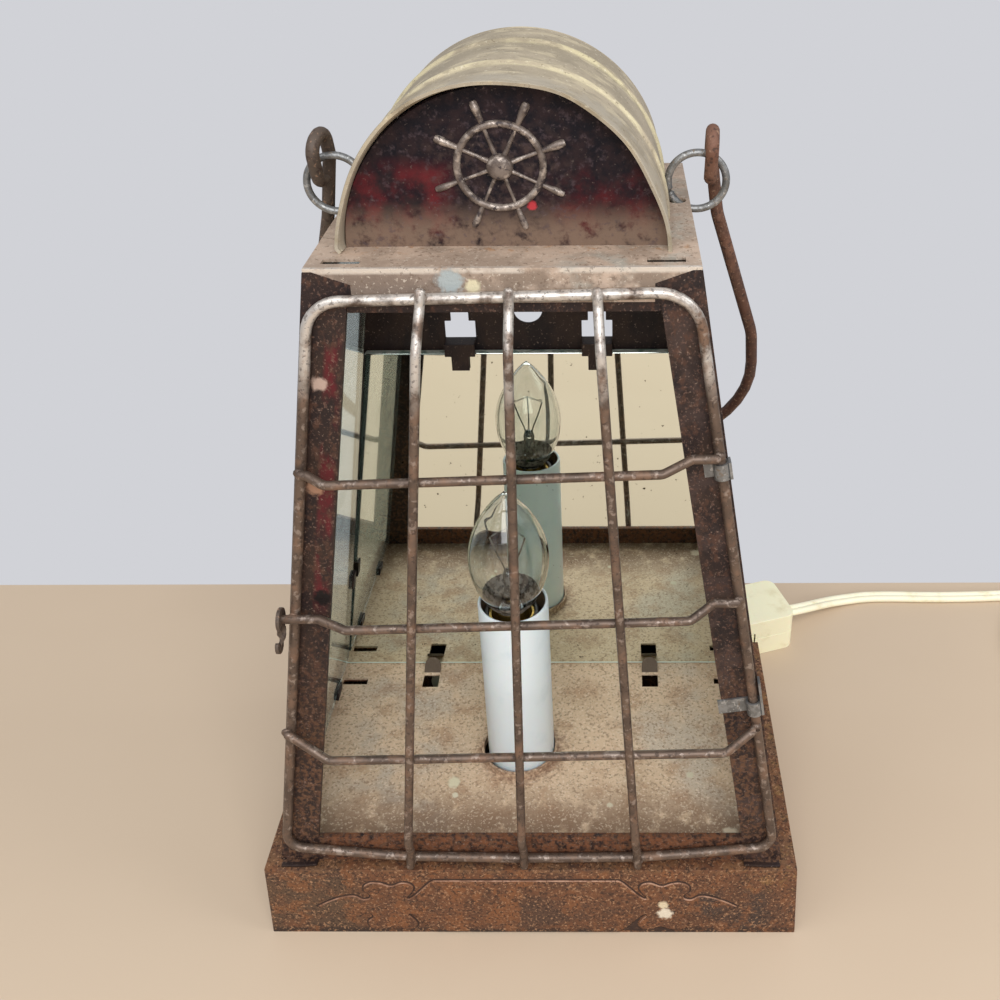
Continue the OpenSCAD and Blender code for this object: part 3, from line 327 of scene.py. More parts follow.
# Moulded PVC: plasticised ivory vinyl, extruded over the two cores, with a soft dull gloss
def ivoryVinyl(name, colour, bumpSize):
    material, tree, shader = startMaterial(name, Roughness=0.42, IOR=1.52, Subsurface_Weight=0.08)
    shader.inputs["Subsurface Scale"].default_value = 0.002
    point = addNode(tree, "ShaderNodeTexCoord", {}).outputs["Object"]
    grime = patches(tree, point, 9, 0.5, 0.25)
    mixed = addNode(tree, "ShaderNodeMix", {0: grime, 6: srgb(colour), 7: srgb("#e6dcb4")}, data_type="RGBA")
    grain = addNode(tree, "ShaderNodeTexNoise", {"Vector": point, "Scale": 1000 / bumpSize, "Detail": 3.0}).outputs[0]
    bump = addNode(tree, "ShaderNodeBump", {"Height": grain, "Strength": 0.5, "Distance": 0.0001}).outputs[0]
    tree.links.new(mixed.outputs[2], shader.inputs["Base Color"])
    tree.links.new(bump, shader.inputs["Normal"])
    return material


cordVinyl = ivoryVinyl("extrudedIvoryVinylCord", "#f8f2d6", 1.2)
mouldedVinyl = ivoryVinyl("mouldedIvoryVinyl", "#f6f1cf", 0.6)

# Flat two-core cord, from the bushing to the switch, then to the coil and the plug
cordSpec = {
    "width": 5.6, "thick": 2.8, "bushingEnd": (-40, 70.636, 10), "coilAt": (232, 68), "coilRadius": 30,
    "coilLoops": 4, "pitch": 6.1, "rise": 3.2, "plugAt": (258, 109.4375, 5.5),
    "toSwitch": [
        (-40, 70.636, 10), (-40, 77, 9.6), (-38.6, 83.5, 8.2), (-34.2, 89.3, 5.8), (-27, 93.2, 3.4),
        (-18, 94.2, 1.8), (-8, 92, 1.5), (2, 87.3, 1.5), (12, 81.6, 1.5), (21, 76.6, 2.2),
        (29.5, 73, 4), (37, 71.6, 6.4), (43.3, 72.2, 8.1), (49, 74, 8.5)],
    "toCoil": [
        (96.55, 89.45, 8.5), (102.3, 91.3, 8.2), (108, 94.4, 7), (113.5, 98.2, 5.2), (119.5, 102, 3.4),
        (127, 105.4, 1.9), (136, 107.4, 1.5), (148, 107.8, 1.4), (162, 107.4, 1.4), (178, 107.5, 1.4),
        (194, 108.2, 1.4), (210, 109.1, 1.4), (226.4, 109.4375, 1.4)],
}


def coilLine(spec, perTurn=40):
    out = spec["coilRadius"] + (spec["coilLoops"] - 0.25) / 2 * spec["pitch"]
    inner = out - (spec["coilLoops"] - 0.25) * spec["pitch"]
    half = round((spec["coilLoops"] - 0.25) * perTurn)
    line = []
    for k in range(2 * half + perTurn // 2 + 1):
        inward, outward = min(k, half) / half, max(0, k - half - perTurn // 2) / half
        climb = min(1, max(0, (k - half) / (perTurn / 2)))
        radius, turn = out + (inner - out) * (inward - outward), math.radians(90 - k * 360 / perTurn)
        line.append(mm(spec["coilAt"][0] + radius * math.cos(turn), spec["coilAt"][1] + radius * math.sin(turn),
                       1.4 + spec["rise"] * climb))
    return line


def flatCord(line, name):
    # two round cores side by side with a groove between, carried along the line
    core = [(1.4 + 1.4 * math.cos(a), 1.4 * math.sin(a)) for a in (math.radians(d) for d in range(-120, 121, 30))]
    profile = core + [(0, 0.78)] + [(-x, -y) for x, y in core] + [(0, -0.78)]
    mesh = bmesh.new()
    rings = []
    for i, place in enumerate(line):
        ahead = (line[min(i + 1, len(line) - 1)] - line[max(i - 1, 0)]).normalized()
        side = ahead.cross(Vector((0, 0, 1))).normalized()
        top = side.cross(ahead)
        rings.append([mesh.verts.new(place + (side * x + top * y) / 1000) for x, y in profile])
    for a, b in zip(rings, rings[1:]):
        for k in range(len(profile)):
            n = (k + 1) % len(profile)
            mesh.faces.new((a[k], b[k], b[n], a[n]))
    mesh.faces.new(rings[0])
    mesh.faces.new(rings[-1][::-1])
    bmesh.ops.recalc_face_normals(mesh, faces=mesh.faces)
    piece = bpy.data.objects.new(name, bpy.data.meshes.new(name))
    mesh.to_mesh(piece.data)
    mesh.free()
    bpy.context.scene.collection.objects.link(piece)
    return piece


def lineLength(line):
    return sum((b - a).length for a, b in zip(line, line[1:]))


switchLine = smoothLine([mm(*p) for p in cordSpec["toSwitch"]], 3)
coilPart = coilLine(cordSpec)
plugEnd = mm(*cordSpec["plugAt"])
lastTurn = coilPart[-1]
plugPart = smoothLine([lastTurn, lastTurn + mm(6, 0, 0.3), lastTurn + mm(13, 0, 0.6),
                       lastTurn + mm(20, 0, 0.85), plugEnd + mm(1.5, 0, 0)], 3)
plugLine = smoothLine([mm(*p) for p in cordSpec["toCoil"]], 3)[:-1] + coilPart + plugPart[1:]
switchCord = finishPiece(flatCord(switchLine, "switchCord"), "switchCord", cordVinyl, "body",
                         ["cord_to_switch"], 50)
plugCord = finishPiece(flatCord(plugLine, "plugCord"), "plugCord", cordVinyl, "body",
                       ["cord_to_coil", "cord_coil", "cord_to_plug"], 50)

# The line switch keeps its CAD shells; the plug is shaped from a block
lowerShell = dressNode("switch_lower_shell", "switchLowerShell", mouldedVinyl, 0.7, 3)
upperShell = dressNode("switch_upper_shell", "switchUpperShell", mouldedVinyl, 0.7, 3)
plugSpec = {"length": 24, "width": 21, "height": 11, "neck": 5.6, "ribs": 5}


def makePlug(spec):
    bpy.ops.object.select_all(action="DESELECT")
    start = mm(*cordSpec["plugAt"])
    bpy.ops.mesh.primitive_cube_add(size=1, location=start + mm(16.5, 0, 0))
    plug = bpy.context.object
    plug.scale = mm(15, spec["width"], spec["height"])
    bpy.ops.object.transform_apply(location=True, rotation=True, scale=True)
    bpy.ops.object.mode_set(mode="EDIT")
    bpy.ops.mesh.select_all(action="DESELECT")
    bpy.ops.object.mode_set(mode="OBJECT")
    for face in plug.data.polygons:
        face.select = face.normal.x < -0.9
    bpy.ops.object.mode_set(mode="EDIT")
    for step, narrow in ((-4, 0.8), (-4.4, 0.62)):
        bpy.ops.mesh.extrude_region_move(TRANSFORM_OT_translate={"value": mm(step, 0, 0)})
        bpy.ops.transform.resize(value=(1, narrow, narrow + 0.08), center_override=start)
    bpy.ops.object.mode_set(mode="OBJECT")
    applyModifier(plug, "BEVEL", width=0.0016, segments=4, limit_method="ANGLE", angle_limit=math.radians(25))
    ribs = []
    for k in range(spec["ribs"]):
        for s in (-1, 1):
            bpy.ops.mesh.primitive_cube_add(size=1, location=start + mm(11 + 2.2 * k, s * (spec["width"] / 2 - 0.1), 0))
            rib = bpy.context.object
            rib.scale = mm(0.9, 0.8, spec["height"] - 4)
            bpy.ops.object.transform_apply(location=True, rotation=True, scale=True)
            applyModifier(rib, "BEVEL", width=0.0003, segments=2)
            ribs.append(rib)
    return finishPiece(joined([plug, *ribs]), "moldedPlug", mouldedVinyl, "body", ["plug_body"])


plug = makePlug(plugSpec)

# Nickelled brass: rolled strip with a thin dull plating, for the prongs
nickel, nickelTree, nickelShader = startMaterial("nickelledBrassStrip", Metallic=1.0, Roughness=0.34)
nickelPoint = addNode(nickelTree, "ShaderNodeTexCoord", {}).outputs["Object"]
nickelMix = addNode(nickelTree, "ShaderNodeMix", {
    0: patches(nickelTree, nickelPoint, 3, 0.5, 0.2), 6: srgb("#c9bb86"), 7: srgb("#a59a6c")}, data_type="RGBA")
nickelTree.links.new(nickelMix.outputs[2], nickelShader.inputs["Base Color"])
prongs = dressNode("plug_prongs", "plugProngs", nickel, 0.5, 3)

print("cords laid:", round(lineLength(switchLine), 4), "m and", round(lineLength(plugLine), 4), "m")

# Floor, pale backdrop and soft lights
floorSpec = {"width": 2.6, "front": -1.8, "back": 0.119, "colour": "#cdb9a1"}


def makeStage(spec):
    bpy.ops.object.select_all(action="DESELECT")
    bpy.ops.mesh.primitive_plane_add(size=1, location=(0, (spec["front"] + spec["back"]) / 2, 0))
    floor = bpy.context.object
    floor.name = "floor"
    floor.scale = (spec["width"], spec["back"] - spec["front"], 1)
    material, tree, shader = startMaterial("paleMattFloor", Roughness=0.7)
    point = addNode(tree, "ShaderNodeTexCoord", {}).outputs["Object"]
    soft = addNode(tree, "ShaderNodeMix", {
        0: patches(tree, point, 300, 0.4, 0.3), 6: srgb(spec["colour"]), 7: srgb("#c6b199")}, data_type="RGBA")
    tree.links.new(soft.outputs[2], shader.inputs["Base Color"])
    floor.data.materials.append(material)
    world = bpy.data.worlds.new("paleRoom")
    bpy.context.scene.world = world
    world.use_nodes = True
    ground = world.node_tree.nodes["Background"]
    light = addNode(world.node_tree, "ShaderNodeLightPath", {})
    seen = addNode(world.node_tree, "ShaderNodeMath", {0: light.outputs["Is Camera Ray"], 1: light.outputs["Is Transmission Ray"]},
                   operation="MAXIMUM").outputs[0]
    tint = addNode(world.node_tree, "ShaderNodeMix", {0: seen, 6: srgb("#b0b0b3"), 7: srgb("#d1d2d7")}, data_type="RGBA")
    world.node_tree.links.new(tint.outputs[2], ground.inputs["Color"])
    ground.inputs["Strength"].default_value = 1.0


makeStage(floorSpec)
lamps = [
    {"place": (0.12, -0.88, 0.80), "size": 0.9, "power": 11.0},
    {"place": (-0.45, -0.30, 0.85), "size": 0.6, "power": 2.0},
    {"place": (0.70, -0.10, 0.70), "size": 0.5, "power": 2.4},
]
for lamp in lamps:
    bpy.ops.object.light_add(type="AREA", location=lamp["place"])
    light = bpy.context.object
    light.data.size = lamp["size"]
    light.data.energy = lamp["power"]
    light.rotation_mode = "QUATERNION"
    light.rotation_quaternion = (Vector((0, 0, 0.1)) - light.location).to_track_quat("-Z", "Y")
print("stage and lamps set")

# Steel finishes. Sheet steel, japanned long ago, then rusted and handled bare on its edges
up, left, deep = (0, 0, 1), (1, 0, 0), (0, 1, 0)

# Roof: dull greige paint over tinned steel, with painted highlights and yellow wear along the pressed beads
roofSteel = weatheredSteel("greigePaintedSteel", {
    "colours": ("#b1a48d", "#9c907a"), "mottle": 22, "rough": 0.5, "metal": 0.12, "grain": 0.07,
    "layers": [
        {"size": 12, "start": 0.5, "soft": 0.14, "colour": "#bfb296", "stretch": (1, 2, 1)},
        # these two layers pale the two beads: painted highlights, with yellow wear
        {"size": 9, "start": 0.38, "soft": 0.2, "colour": "#dacfab", "stretch": (0.5, 1.6, 0.5), "rough": 0.4,
         "metal": 0.25, "bands": [(deep, -0.6, 1.0, 2.6)]},
        {"size": 8, "start": 0.40, "soft": 0.2, "colour": "#d3c8a2", "stretch": (0.5, 1.6, 0.5), "rough": 0.4,
         "metal": 0.25, "bands": [(deep, 26.4, 1.2, 4.0)], "seed": 3.1},
        {"size": 5, "start": 0.55, "soft": 0.08, "colour": "#8f8470", "stretch": (0.6, 1.5, 0.6), "most": 0.6},
        {"size": 1.2, "start": 0.62, "soft": 0.06, "colour": "#766955", "rough": 0.8, "relief": -0.03, "most": 0.7},
        {"size": 1.2, "start": 0.62, "soft": 0.06, "colour": "#e0d8c0", "seed": 5.0, "most": 0.6},
        {"size": 7, "start": 0.42, "soft": 0.14, "colour": "#aea594", "bands": [(deep, -20.0, 4.0, 7.0)], "most": 0.7},
    ],
})

# Gable: black and maroon japan lacquer, dusty towards the ledge, its tones darkened further as painted shade under the
# roof's lip
gableSteel = weatheredSteel("maroonJapannedSteel", {
    "colours": ("#251a1d", "#100e16"), "mottle": 4, "rough": 0.5, "metal": 0.0, "grain": 0.08, "dents": 0.35,
    "specular": 0.15,
    "layers": [
        {"size": 11, "start": 0.34, "soft": 0.3, "colour": "#651d22", "bands": [(left, -30.0, 12.0, 9.0), (up, 228.0, 5.0, 7.0)], "most": 0.85},
        {"size": 11, "start": 0.38, "soft": 0.3, "colour": "#52171b", "bands": [(left, 28.0, 12.0, 9.0), (up, 227.0, 5.0, 7.0)], "most": 0.85, "seed": 2.0},
        {"size": 3, "start": 0.22, "soft": 0.3, "colour": "#7a6556", "rough": 0.75, "bands": [(up, 216.5, 2.5, 10.0)], "most": 0.9},
        {"size": 2.5, "start": 0.44, "soft": 0.24, "colour": "#4c3d38", "rough": 0.7, "most": 0.6,
         "bands": [(left, -1.0, 11.0, 10.0), (up, 232.0, 8.0, 10.0)]},
        {"size": 1.6, "start": 0.54, "soft": 0.16, "colour": "#4d4044", "most": 0.5},
        {"size": 1.0, "start": 0.60, "soft": 0.1, "colour": "#7d7067", "seed": 4.0, "most": 0.35},
    ],
    "spots": [((6.6, -20.3, 226.8), 1.2, "#ad373d")],
})

# Ship's wheel: the same pressed sheet, rubbed to dull brown metal on its high places
wheelSteel = weatheredSteel("rubbedReliefSteel", {
    "colours": ("#7b6f67", "#574c46"), "mottle": 4, "rough": 0.4, "metal": 0.3, "grain": 0.05, "dents": 0.1,
    "layers": [
        {"size": 3, "start": 0.5, "soft": 0.14, "colour": "#aca096", "rough": 0.3, "metal": 0.5},
        {"size": 2, "start": 0.58, "soft": 0.06, "colour": "#3a3030", "rough": 0.6, "metal": 0.1},
    ],
    "spots": [((6.6, -21.3, 226.8), 1.2, "#ad373d")],
})

# Top ledge and its folded front: dusty tan lacquer, with a painted highlight and worn bare metal along the fold
ledgeSteel = weatheredSteel("tanWornLedgeSteel", {
    "colours": ("#bfa996", "#a99584"), "mottle": 14, "rough": 0.5, "metal": 0.15,
    "layers": [
        {"size": 7, "start": 0.40, "soft": 0.2, "colour": "#7f6e5f", "bands": [(up, 211.0, 4.2, 2.0)], "most": 0.8},
        {"size": 9, "start": 0.2, "soft": 0.2, "colour": "#75665c", "bands": [(left, -30.0, 14.0, 8.0), (up, 210.5, 4.2, 1.6)], "most": 0.7},
        # pale band along the fold's edge: painted highlight, with worn bare metal
        {"size": 10, "start": 0.36, "soft": 0.16, "colour": "#dcd2c6", "rough": 0.3, "metal": 0.5,
         "bands": [(up, 216.2, 0.4, 1.0), (deep, -34.2, 0.6, 0.9)]},
        {"size": 12, "start": 0.47, "soft": 0.16, "colour": "#a5a49a", "bands": [(left, 30.0, 12.0, 10.0), (up, 214.0, 3.0, 3.0)], "most": 0.7},
        {"size": 3, "start": 0.55, "soft": 0.12, "colour": "#a67c58", "rough": 0.85, "bands": [(deep, -20.0, 2.5, 4.0)], "most": 0.7},
        {"size": 1.2, "start": 0.57, "soft": 0.08, "colour": "#6e5b4b", "rough": 0.85, "relief": -0.03, "most": 0.6},
        {"size": 0.9, "start": 0.58, "soft": 0.08, "colour": "#d6c9b8", "most": 0.6},
    ],
    "spots": [((-12.3, -34.3, 213.4), 3.2, "#a0a8a8"), ((-7.0, -34.4, 212.0), 1.8, "#d2c8a8")],
})

# Posts, sides and back: dark brown japan over steel, with rust scabs and a strip of old red paint
postSteel = weatheredSteel("darkBrownJapannedSteel", {
    "colours": ("#33251f", "#271c1b"), "mottle": 10, "rough": 0.5, "metal": 0.05, "specular": 0.3,
    "layers": [
        {"size": 8, "start": 0.5, "soft": 0.14, "colour": "#1f1718", "stretch": (1, 1, 0.4)},
        {"size": 8, "start": 0.40, "soft": 0.16, "colour": "#571a20", "rough": 0.38, "stretch": (1, 1, 0.5),
         "bands": [((1, 0, -0.15556), -72.2, 1.2, 1.4), (deep, -41.0, 6.0, 0.6), (up, 168.0, 42.0, 10.0)]},
        {"size": 9, "start": 0.46, "soft": 0.12, "colour": "#463733", "bands": [((1, 0, 0.15556), 75.0, 5.5, 1.0), (deep, -41.0, 6.0, 0.6)], "most": 0.6},
        {"size": 2, "start": 0.50, "soft": 0.16, "colour": "#553a2d", "rough": 0.8, "stretch": (1, 1, 0.7), "most": 0.7,
         "bands": [(deep, -40.5, 6.5, 0.5)]},
        {"size": 1.3, "start": 0.46, "soft": 0.14, "colour": "#684a36", "rough": 0.85, "bands": [(up, 34.0, 30.0, 60.0), (deep, -42.5, 5.0, 0.5)], "most": 0.8},
        {"size": 1.5, "start": 0.38, "soft": 0.24, "colour": "#75492f", "rough": 0.85, "bands": [(up, 32.0, 5.0, 4.0), (left, 0.0, 60.0, 4.0)], "most": 0.8},
        {"size": 0.9, "start": 0.56, "soft": 0.1, "colour": "#73574a", "rough": 0.8, "relief": 0.04, "most": 0.6,
         "bands": [(deep, -40.5, 6.5, 0.5)]},
        {"size": 0.8, "start": 0.61, "soft": 0.08, "colour": "#a08878", "relief": 0.03, "most": 0.45},
    ],
    "spots": [((-52.6, -40.2, 123.9), 2.6, "#161011"), ((-50.4, -37.9, 158.0), 2.4, "#a07a62"),
              ((-46.0, -36.0, 187.0), 2.0, "#b39a8c")],
})

# Base box: the rustiest sheet, brown and purple rust with golden scale on its ledge and edges
baseSteel = weatheredSteel("rustyBrownBaseSteel", {
    "colours": ("#6d452c", "#5a3a27"), "mottle": 8, "rough": 0.62, "metal": 0.08, "grain": 0.14,
    "layers": [
        {"size": 16, "start": 0.5, "soft": 0.16, "colour": "#4d372b", "stretch": (0.6, 1, 1), "most": 0.8},
        {"size": 12, "start": 0.42, "soft": 0.16, "colour": "#3b302b", "bands": [(left, 60.0, 12.0, 12.0), (up, 8.0, 6.0, 9.0)], "most": 0.9},
        {"size": 10, "start": 0.3, "soft": 0.2, "colour": "#54402f", "bands": [(left, -72.0, 12.0, 14.0), (up, 10.0, 13.0, 3.0)], "most": 0.8},
        {"size": 4, "start": 0.2, "soft": 0.2, "colour": "#2f211b", "bands": [(up, 0.4, 1.0, 1.4)], "most": 0.9},
        {"size": 6, "start": 0.48, "soft": 0.14, "colour": "#825230", "rough": 0.8, "most": 0.7},
        {"size": 5, "start": 0.42, "soft": 0.2, "colour": "#7c5a3c", "bands": [(up, 27.6, 0.7, 1.6)], "most": 0.6},
        {"size": 4, "start": 0.5, "soft": 0.14, "colour": "#8d693e", "bands": [(up, 25.0, 4.0, 4.0), (left, 80.0, 8.0, 14.0)], "most": 0.7},
        {"size": 0.9, "start": 0.50, "soft": 0.12, "colour": "#35241b", "rough": 0.85, "relief": -0.05, "most": 0.8},
        {"size": 0.8, "start": 0.54, "soft": 0.12, "colour": "#ab8260", "relief": 0.05, "most": 0.8, "seed": 3.0},
    ],
    "spots": [((41.0, -50.9, 9.2), 2.4, "#ded2bd"), ((40.4, -50.9, 13.0), 1.6, "#d8c8a8")],
})

# Inside floor: dusty tan, finely speckled, greyer towards the sides
floorSteel = weatheredSteel("dustyTanFloorSteel", {
    "colours": ("#d9bd9f", "#c9ad8f"), "mottle": 18, "rough": 0.7, "metal": 0.05, "grain": 0.12,
    "layers": [
        {"size": 22, "start": 0.45, "soft": 0.2, "colour": "#b4a99c", "bands": [(left, -46.0, 12.0, 14.0)], "most": 0.7},
        {"size": 22, "start": 0.45, "soft": 0.2, "colour": "#c0b5a6", "bands": [(left, 48.0, 12.0, 14.0)], "most": 0.6, "seed": 2.0},
        {"size": 9, "start": 0.5, "soft": 0.16, "colour": "#b58f70", "most": 0.6},
        {"size": 7, "start": 0.30, "soft": 0.2, "colour": "#7d5f49", "bands": [(deep, -44.0, 9.0, 20.0)], "most": 0.8},
        {"size": 1.0, "start": 0.52, "soft": 0.1, "colour": "#8f735a", "relief": -0.02, "most": 0.7},
        {"size": 0.8, "start": 0.54, "soft": 0.1, "colour": "#ecd9c0", "relief": 0.02, "most": 0.5, "seed": 3.0},
        # the rear tab darkened: painted shade
        {"size": 3, "start": 0.2, "soft": 0.1, "colour": "#5c4c3c", "bands": [(deep, 36.0, 3.5, 0.5), (up, 31.5, 2.6, 0.3)]},
    ],
    "spots": [((-5.7, -3.6, 28.3), 13.8, "#80604c"), ((-27.0, -17.5, 28.3), 2.2, "#dcd2b4"), ((-26.0, -22.7, 28.3), 1.1, "#d9cfb6"),
              ((50.5, -14.6, 28.3), 1.4, "#d2c8ae"), ((24.1, -26.7, 28.3), 1.0, "#d2c6ac"),
              ((61.4, -37.3, 28.3), 2.4, "#dccab0")],
})

# Guard wires: drawn steel wire, brown with old rust, with a painted highlight towards the top
guardSteel = weatheredSteel("brownDrawnWire", {
    "colours": ("#6c5b4f", "#584a41"), "mottle": 8, "rough": 0.42, "metal": 0.5, "grain": 0.04, "dents": 0.05,
    "layers": [
        {"size": 6, "start": 0.48, "soft": 0.16, "colour": "#80634f", "rough": 0.6, "metal": 0.3, "most": 0.7},
        # pale band near the top of the guard: painted highlight
        {"size": 7, "start": 0.36, "soft": 0.2, "colour": "#cdc7c0", "rough": 0.34, "metal": 0.6,
         "bands": [(up, 208.0, 12.0, 14.0)]},
        {"size": 2, "start": 0.54, "soft": 0.1, "colour": "#a4958a", "rough": 0.36, "most": 0.6},
        {"size": 1.2, "start": 0.56, "soft": 0.08, "colour": "#40342e", "rough": 0.7, "relief": -0.03, "most": 0.6},
    ],
})

# Bail: thick iron wire under red brown rust, darker on its left leg
bailIron = weatheredSteel("rustyIronWire", {
    "colours": ("#5b3c2f", "#493027"), "mottle": 11, "rough": 0.58, "metal": 0.2, "grain": 0.1, "dents": 0.05,
    "layers": [
        {"size": 6, "start": 0.36, "soft": 0.2, "colour": "#7b5847", "rough": 0.7, "bands": [(left, 52.0, 7.0, 6.0)], "most": 0.8},
        {"size": 4, "start": 0.5, "soft": 0.14, "colour": "#6b4737", "rough": 0.7, "most": 0.7},
        {"size": 12, "start": 0.1, "soft": 0.2, "colour": "#544a41", "bands": [(left, -60.0, 22.0, 12.0)], "most": 0.85},
        {"size": 1.4, "start": 0.55, "soft": 0.08, "colour": "#3a2a25", "rough": 0.8, "relief": -0.05, "most": 0.7},
        {"size": 1.0, "start": 0.58, "soft": 0.08, "colour": "#a08068", "relief": 0.04, "most": 0.7},
    ],
})

# Hinge clips, rings and lamp fittings: hot dip galvanised strip and wire, gone grey and spotty
zincSteel = weatheredSteel("dullGalvanisedSteel", {
    "colours": ("#929393", "#767777"), "mottle": 4, "rough": 0.42, "metal": 0.7, "grain": 0.06, "dents": 0.05,
    "layers": [
        {"size": 2, "start": 0.5, "soft": 0.12, "colour": "#737270", "rough": 0.55, "most": 0.7},
        {"size": 1.4, "start": 0.56, "soft": 0.1, "colour": "#c6c7c6", "rough": 0.3, "most": 0.7},
        {"size": 1.2, "start": 0.58, "soft": 0.08, "colour": "#77644f", "rough": 0.75, "metal": 0.2, "most": 0.7},
    ],
})
print("steel finishes made")

# Sheet pieces that keep their CAD shape, with rounded edges
dressNode("base_box", "baseBox", baseSteel, 0.35, 3, merged=False)
dressNode("bottom_cover", "bottomCover", baseSteel, 0.2)
dressNode("floor_plate", "floorPlate", floorSteel, 0.22)
dressNode("front_frame", "frontFrame", postSteel, 0.2)
dressNode("left_side_panel", "leftSidePanel", postSteel, 0.2, merged=False)
dressNode("right_side_panel", "rightSidePanel", postSteel, 0.2, merged=False)
dressNode("back_panel", "backPanel", postSteel, 0.2)
dressNode("top_plate", "topPlate", ledgeSteel, 0.3, 3)
dressNode("rear_gable", "rearGable", roofSteel, 0.2)
dressNode("upper_hinge_clip", "upperHingeClip", zincSteel, 0.15)
dressNode("lower_hinge_clip", "lowerHingeClip", zincSteel, 0.15)
dressNode("socket_strap", "socketStrap", zincSteel, 0.25)
dressNode("threaded_nipple", "threadedNipple", zincSteel, 0.3)
dressNode("nipple_nuts", "nippleNuts", zincSteel, 0.3)
dressNode("switch_screw", "switchScrew", zincSteel, 0.2)
dressNode("switch_wheel", "switchWheel", mouldedVinyl, 0.15)
print("sheet pieces dressed")

# Roof barrel: a profile with its beads and lips, spun over half a turn, then given its thickness
roofSpec = {"radius": 40.0, "front": -25.0, "rear": 46.0, "beads": [(-0.6, 1.9, 0.8), (26.4, 1.9, 0.8)],
            "lips": [(-24.2, 1.1, 0.3), (45.2, 1.1, -0.3)],
            "bulges": [(118, 30, 1.7), (70, 12, 0.9), (180, 12, 0.9), (25, 14, -1.1)]}


def makeRoof(spec):
    def radiusAt(y):
        rise = sum(high * math.cos(math.pi / 2 * (y - at) / half) ** 2
                   for at, half, high in spec["beads"] + spec["lips"] if abs(y - at) < half)
        return spec["radius"] + rise

    steps = [spec["front"] + 0.4 * k for k in range(8)] + [-21.5, -18, -14, -10, -6]
    for at, half, high in spec["beads"]:
        steps += [at + half * k / 5 for k in range(-6, 7)]
    steps += [6, 12, 18, 33, 38, 42, 43.5] + [spec["rear"] - 0.4 * k for k in range(7)]
    profile = [mm(radiusAt(y), y, bodyMeasures["top"]) for y in sorted(steps)]
    roof = spunPiece(profile, mm(0, 0, bodyMeasures["top"]), (0, 1, 0), 180, 96)
    # the front lip bulges out at its left shoulder and both its ends are bent
    for vertex in roof.data.vertices:
        x, y, z = vertex.co.x * 1000, vertex.co.y * 1000, vertex.co.z * 1000 - bodyMeasures["top"]
        turn = math.degrees(math.atan2(z, x))
        near = max(0.0, (-12 - y) / 13) ** 2
        outward = sum(high * math.exp(-((turn - at) / wide) ** 2) for at, wide, high in spec["bulges"]) * near
        scale = 1 + outward / math.hypot(x, z)
        ripple = 0.35 * math.sin(math.radians(turn * 5)) * near
        vertex.co = mm(x * scale, y + max(0.0, ripple), z * scale + bodyMeasures["top"])
    pick(roof)
    bpy.ops.object.mode_set(mode="EDIT")
    bpy.ops.mesh.select_all(action="SELECT")
    bpy.ops.mesh.normals_make_consistent(inside=False)
    bpy.ops.object.mode_set(mode="OBJECT")
    middle = min(roof.data.polygons, key=lambda face: (face.center - mm(0, 10, 256.5)).length)
    applyModifier(roof, "SOLIDIFY", thickness=0.0008, offset=-1 if middle.normal.z > 0 else 1)
    return finishPiece(roof, "roofBarrel", roofSteel, "body", ["roof_barrel"], 50)


makeRoof(roofSpec)

# Front gable: a half disc with a pressed ship's wheel
gableSpec = {"radius": 39.1, "face": -20.0, "off": -0.6, "centreUp": 20.0, "rim": 10.2, "rimWire": 0.9, "reach": 16.6, "turn": 20}


def makeGable(spec):
    top, face = bodyMeasures["top"], spec["face"]
    centre = mm(0, face, top)
    profile = [mm(r, face - s, top) for r, s in ((0, 0), (12, 0), (26, 0), (36, 0), (38.3, 0.1), (39.1, 0.5))]
    plate = spunPiece(profile, centre, (0, 1, 0), 180, 64)
    front = max(plate.data.polygons, key=lambda polygon: polygon.area)
    applyModifier(plate, "SOLIDIFY", thickness=0.0008, offset=-1 if front.normal.y < 0 else 1)
    plate.data.materials.append(gableSteel)
    hubAt = mm(spec["off"], face, top + spec["centreUp"])
    relief = []
    bpy.ops.object.select_all(action="DESELECT")
    bpy.ops.mesh.primitive_torus_add(location=hubAt, rotation=(math.pi / 2, 0, 0), major_segments=64, minor_segments=16,
                                     major_radius=spec["rim"] / 1000, minor_radius=spec["rimWire"] / 1000)
    relief.append(bpy.context.object)
    hub = [(3.2, 0.3), (3.15, -0.9), (2.9, -1.6), (2.5, -1.9), (1.2, -2.05), (0, -2.1)]
    relief.append(spunPiece([hubAt + mm(r, s, 0) for r, s in hub], hubAt, (0, -1, 0), 360, 24))
    reach = spec["reach"]
    handle = [(1.5, 0.8), (5.5, 0.5), (9.2, 0.48), (10.2, 0.6), (11.4, 0.68), (12.6, 0.8), (14.4, 1.05),
              (reach - 0.7, 1.0), (reach - 0.1, 0.7), (reach, 0.0)]
    spoke = spunPiece([mm(r, 0, w) for r, w in handle], (0, 0, 0), (1, 0, 0), 360, 14)
    for k in range(8):
        copy = spoke.copy()
        copy.data = spoke.data.copy()
        bpy.context.scene.collection.objects.link(copy)
        slim = 0.82 if k in (4, 5, 6, 7) else 1.0
        copy.data.transform(Matrix.Translation(hubAt) @ Matrix.Rotation(math.radians(-45 * k - spec["turn"]), 4, "Y")
                            @ Matrix.Diagonal((1, slim, slim, 1)))
        relief.append(copy)
    bpy.data.objects.remove(spoke)
    for piece in relief:
        piece.data.materials.clear()
        piece.data.materials.append(wheelSteel)
    gable = joined([plate, *relief])
    return finishPiece(gable, "frontGable", None, "body", ["front_gable"], 45)


makeGable(gableSpec)
print("roof and gable made")

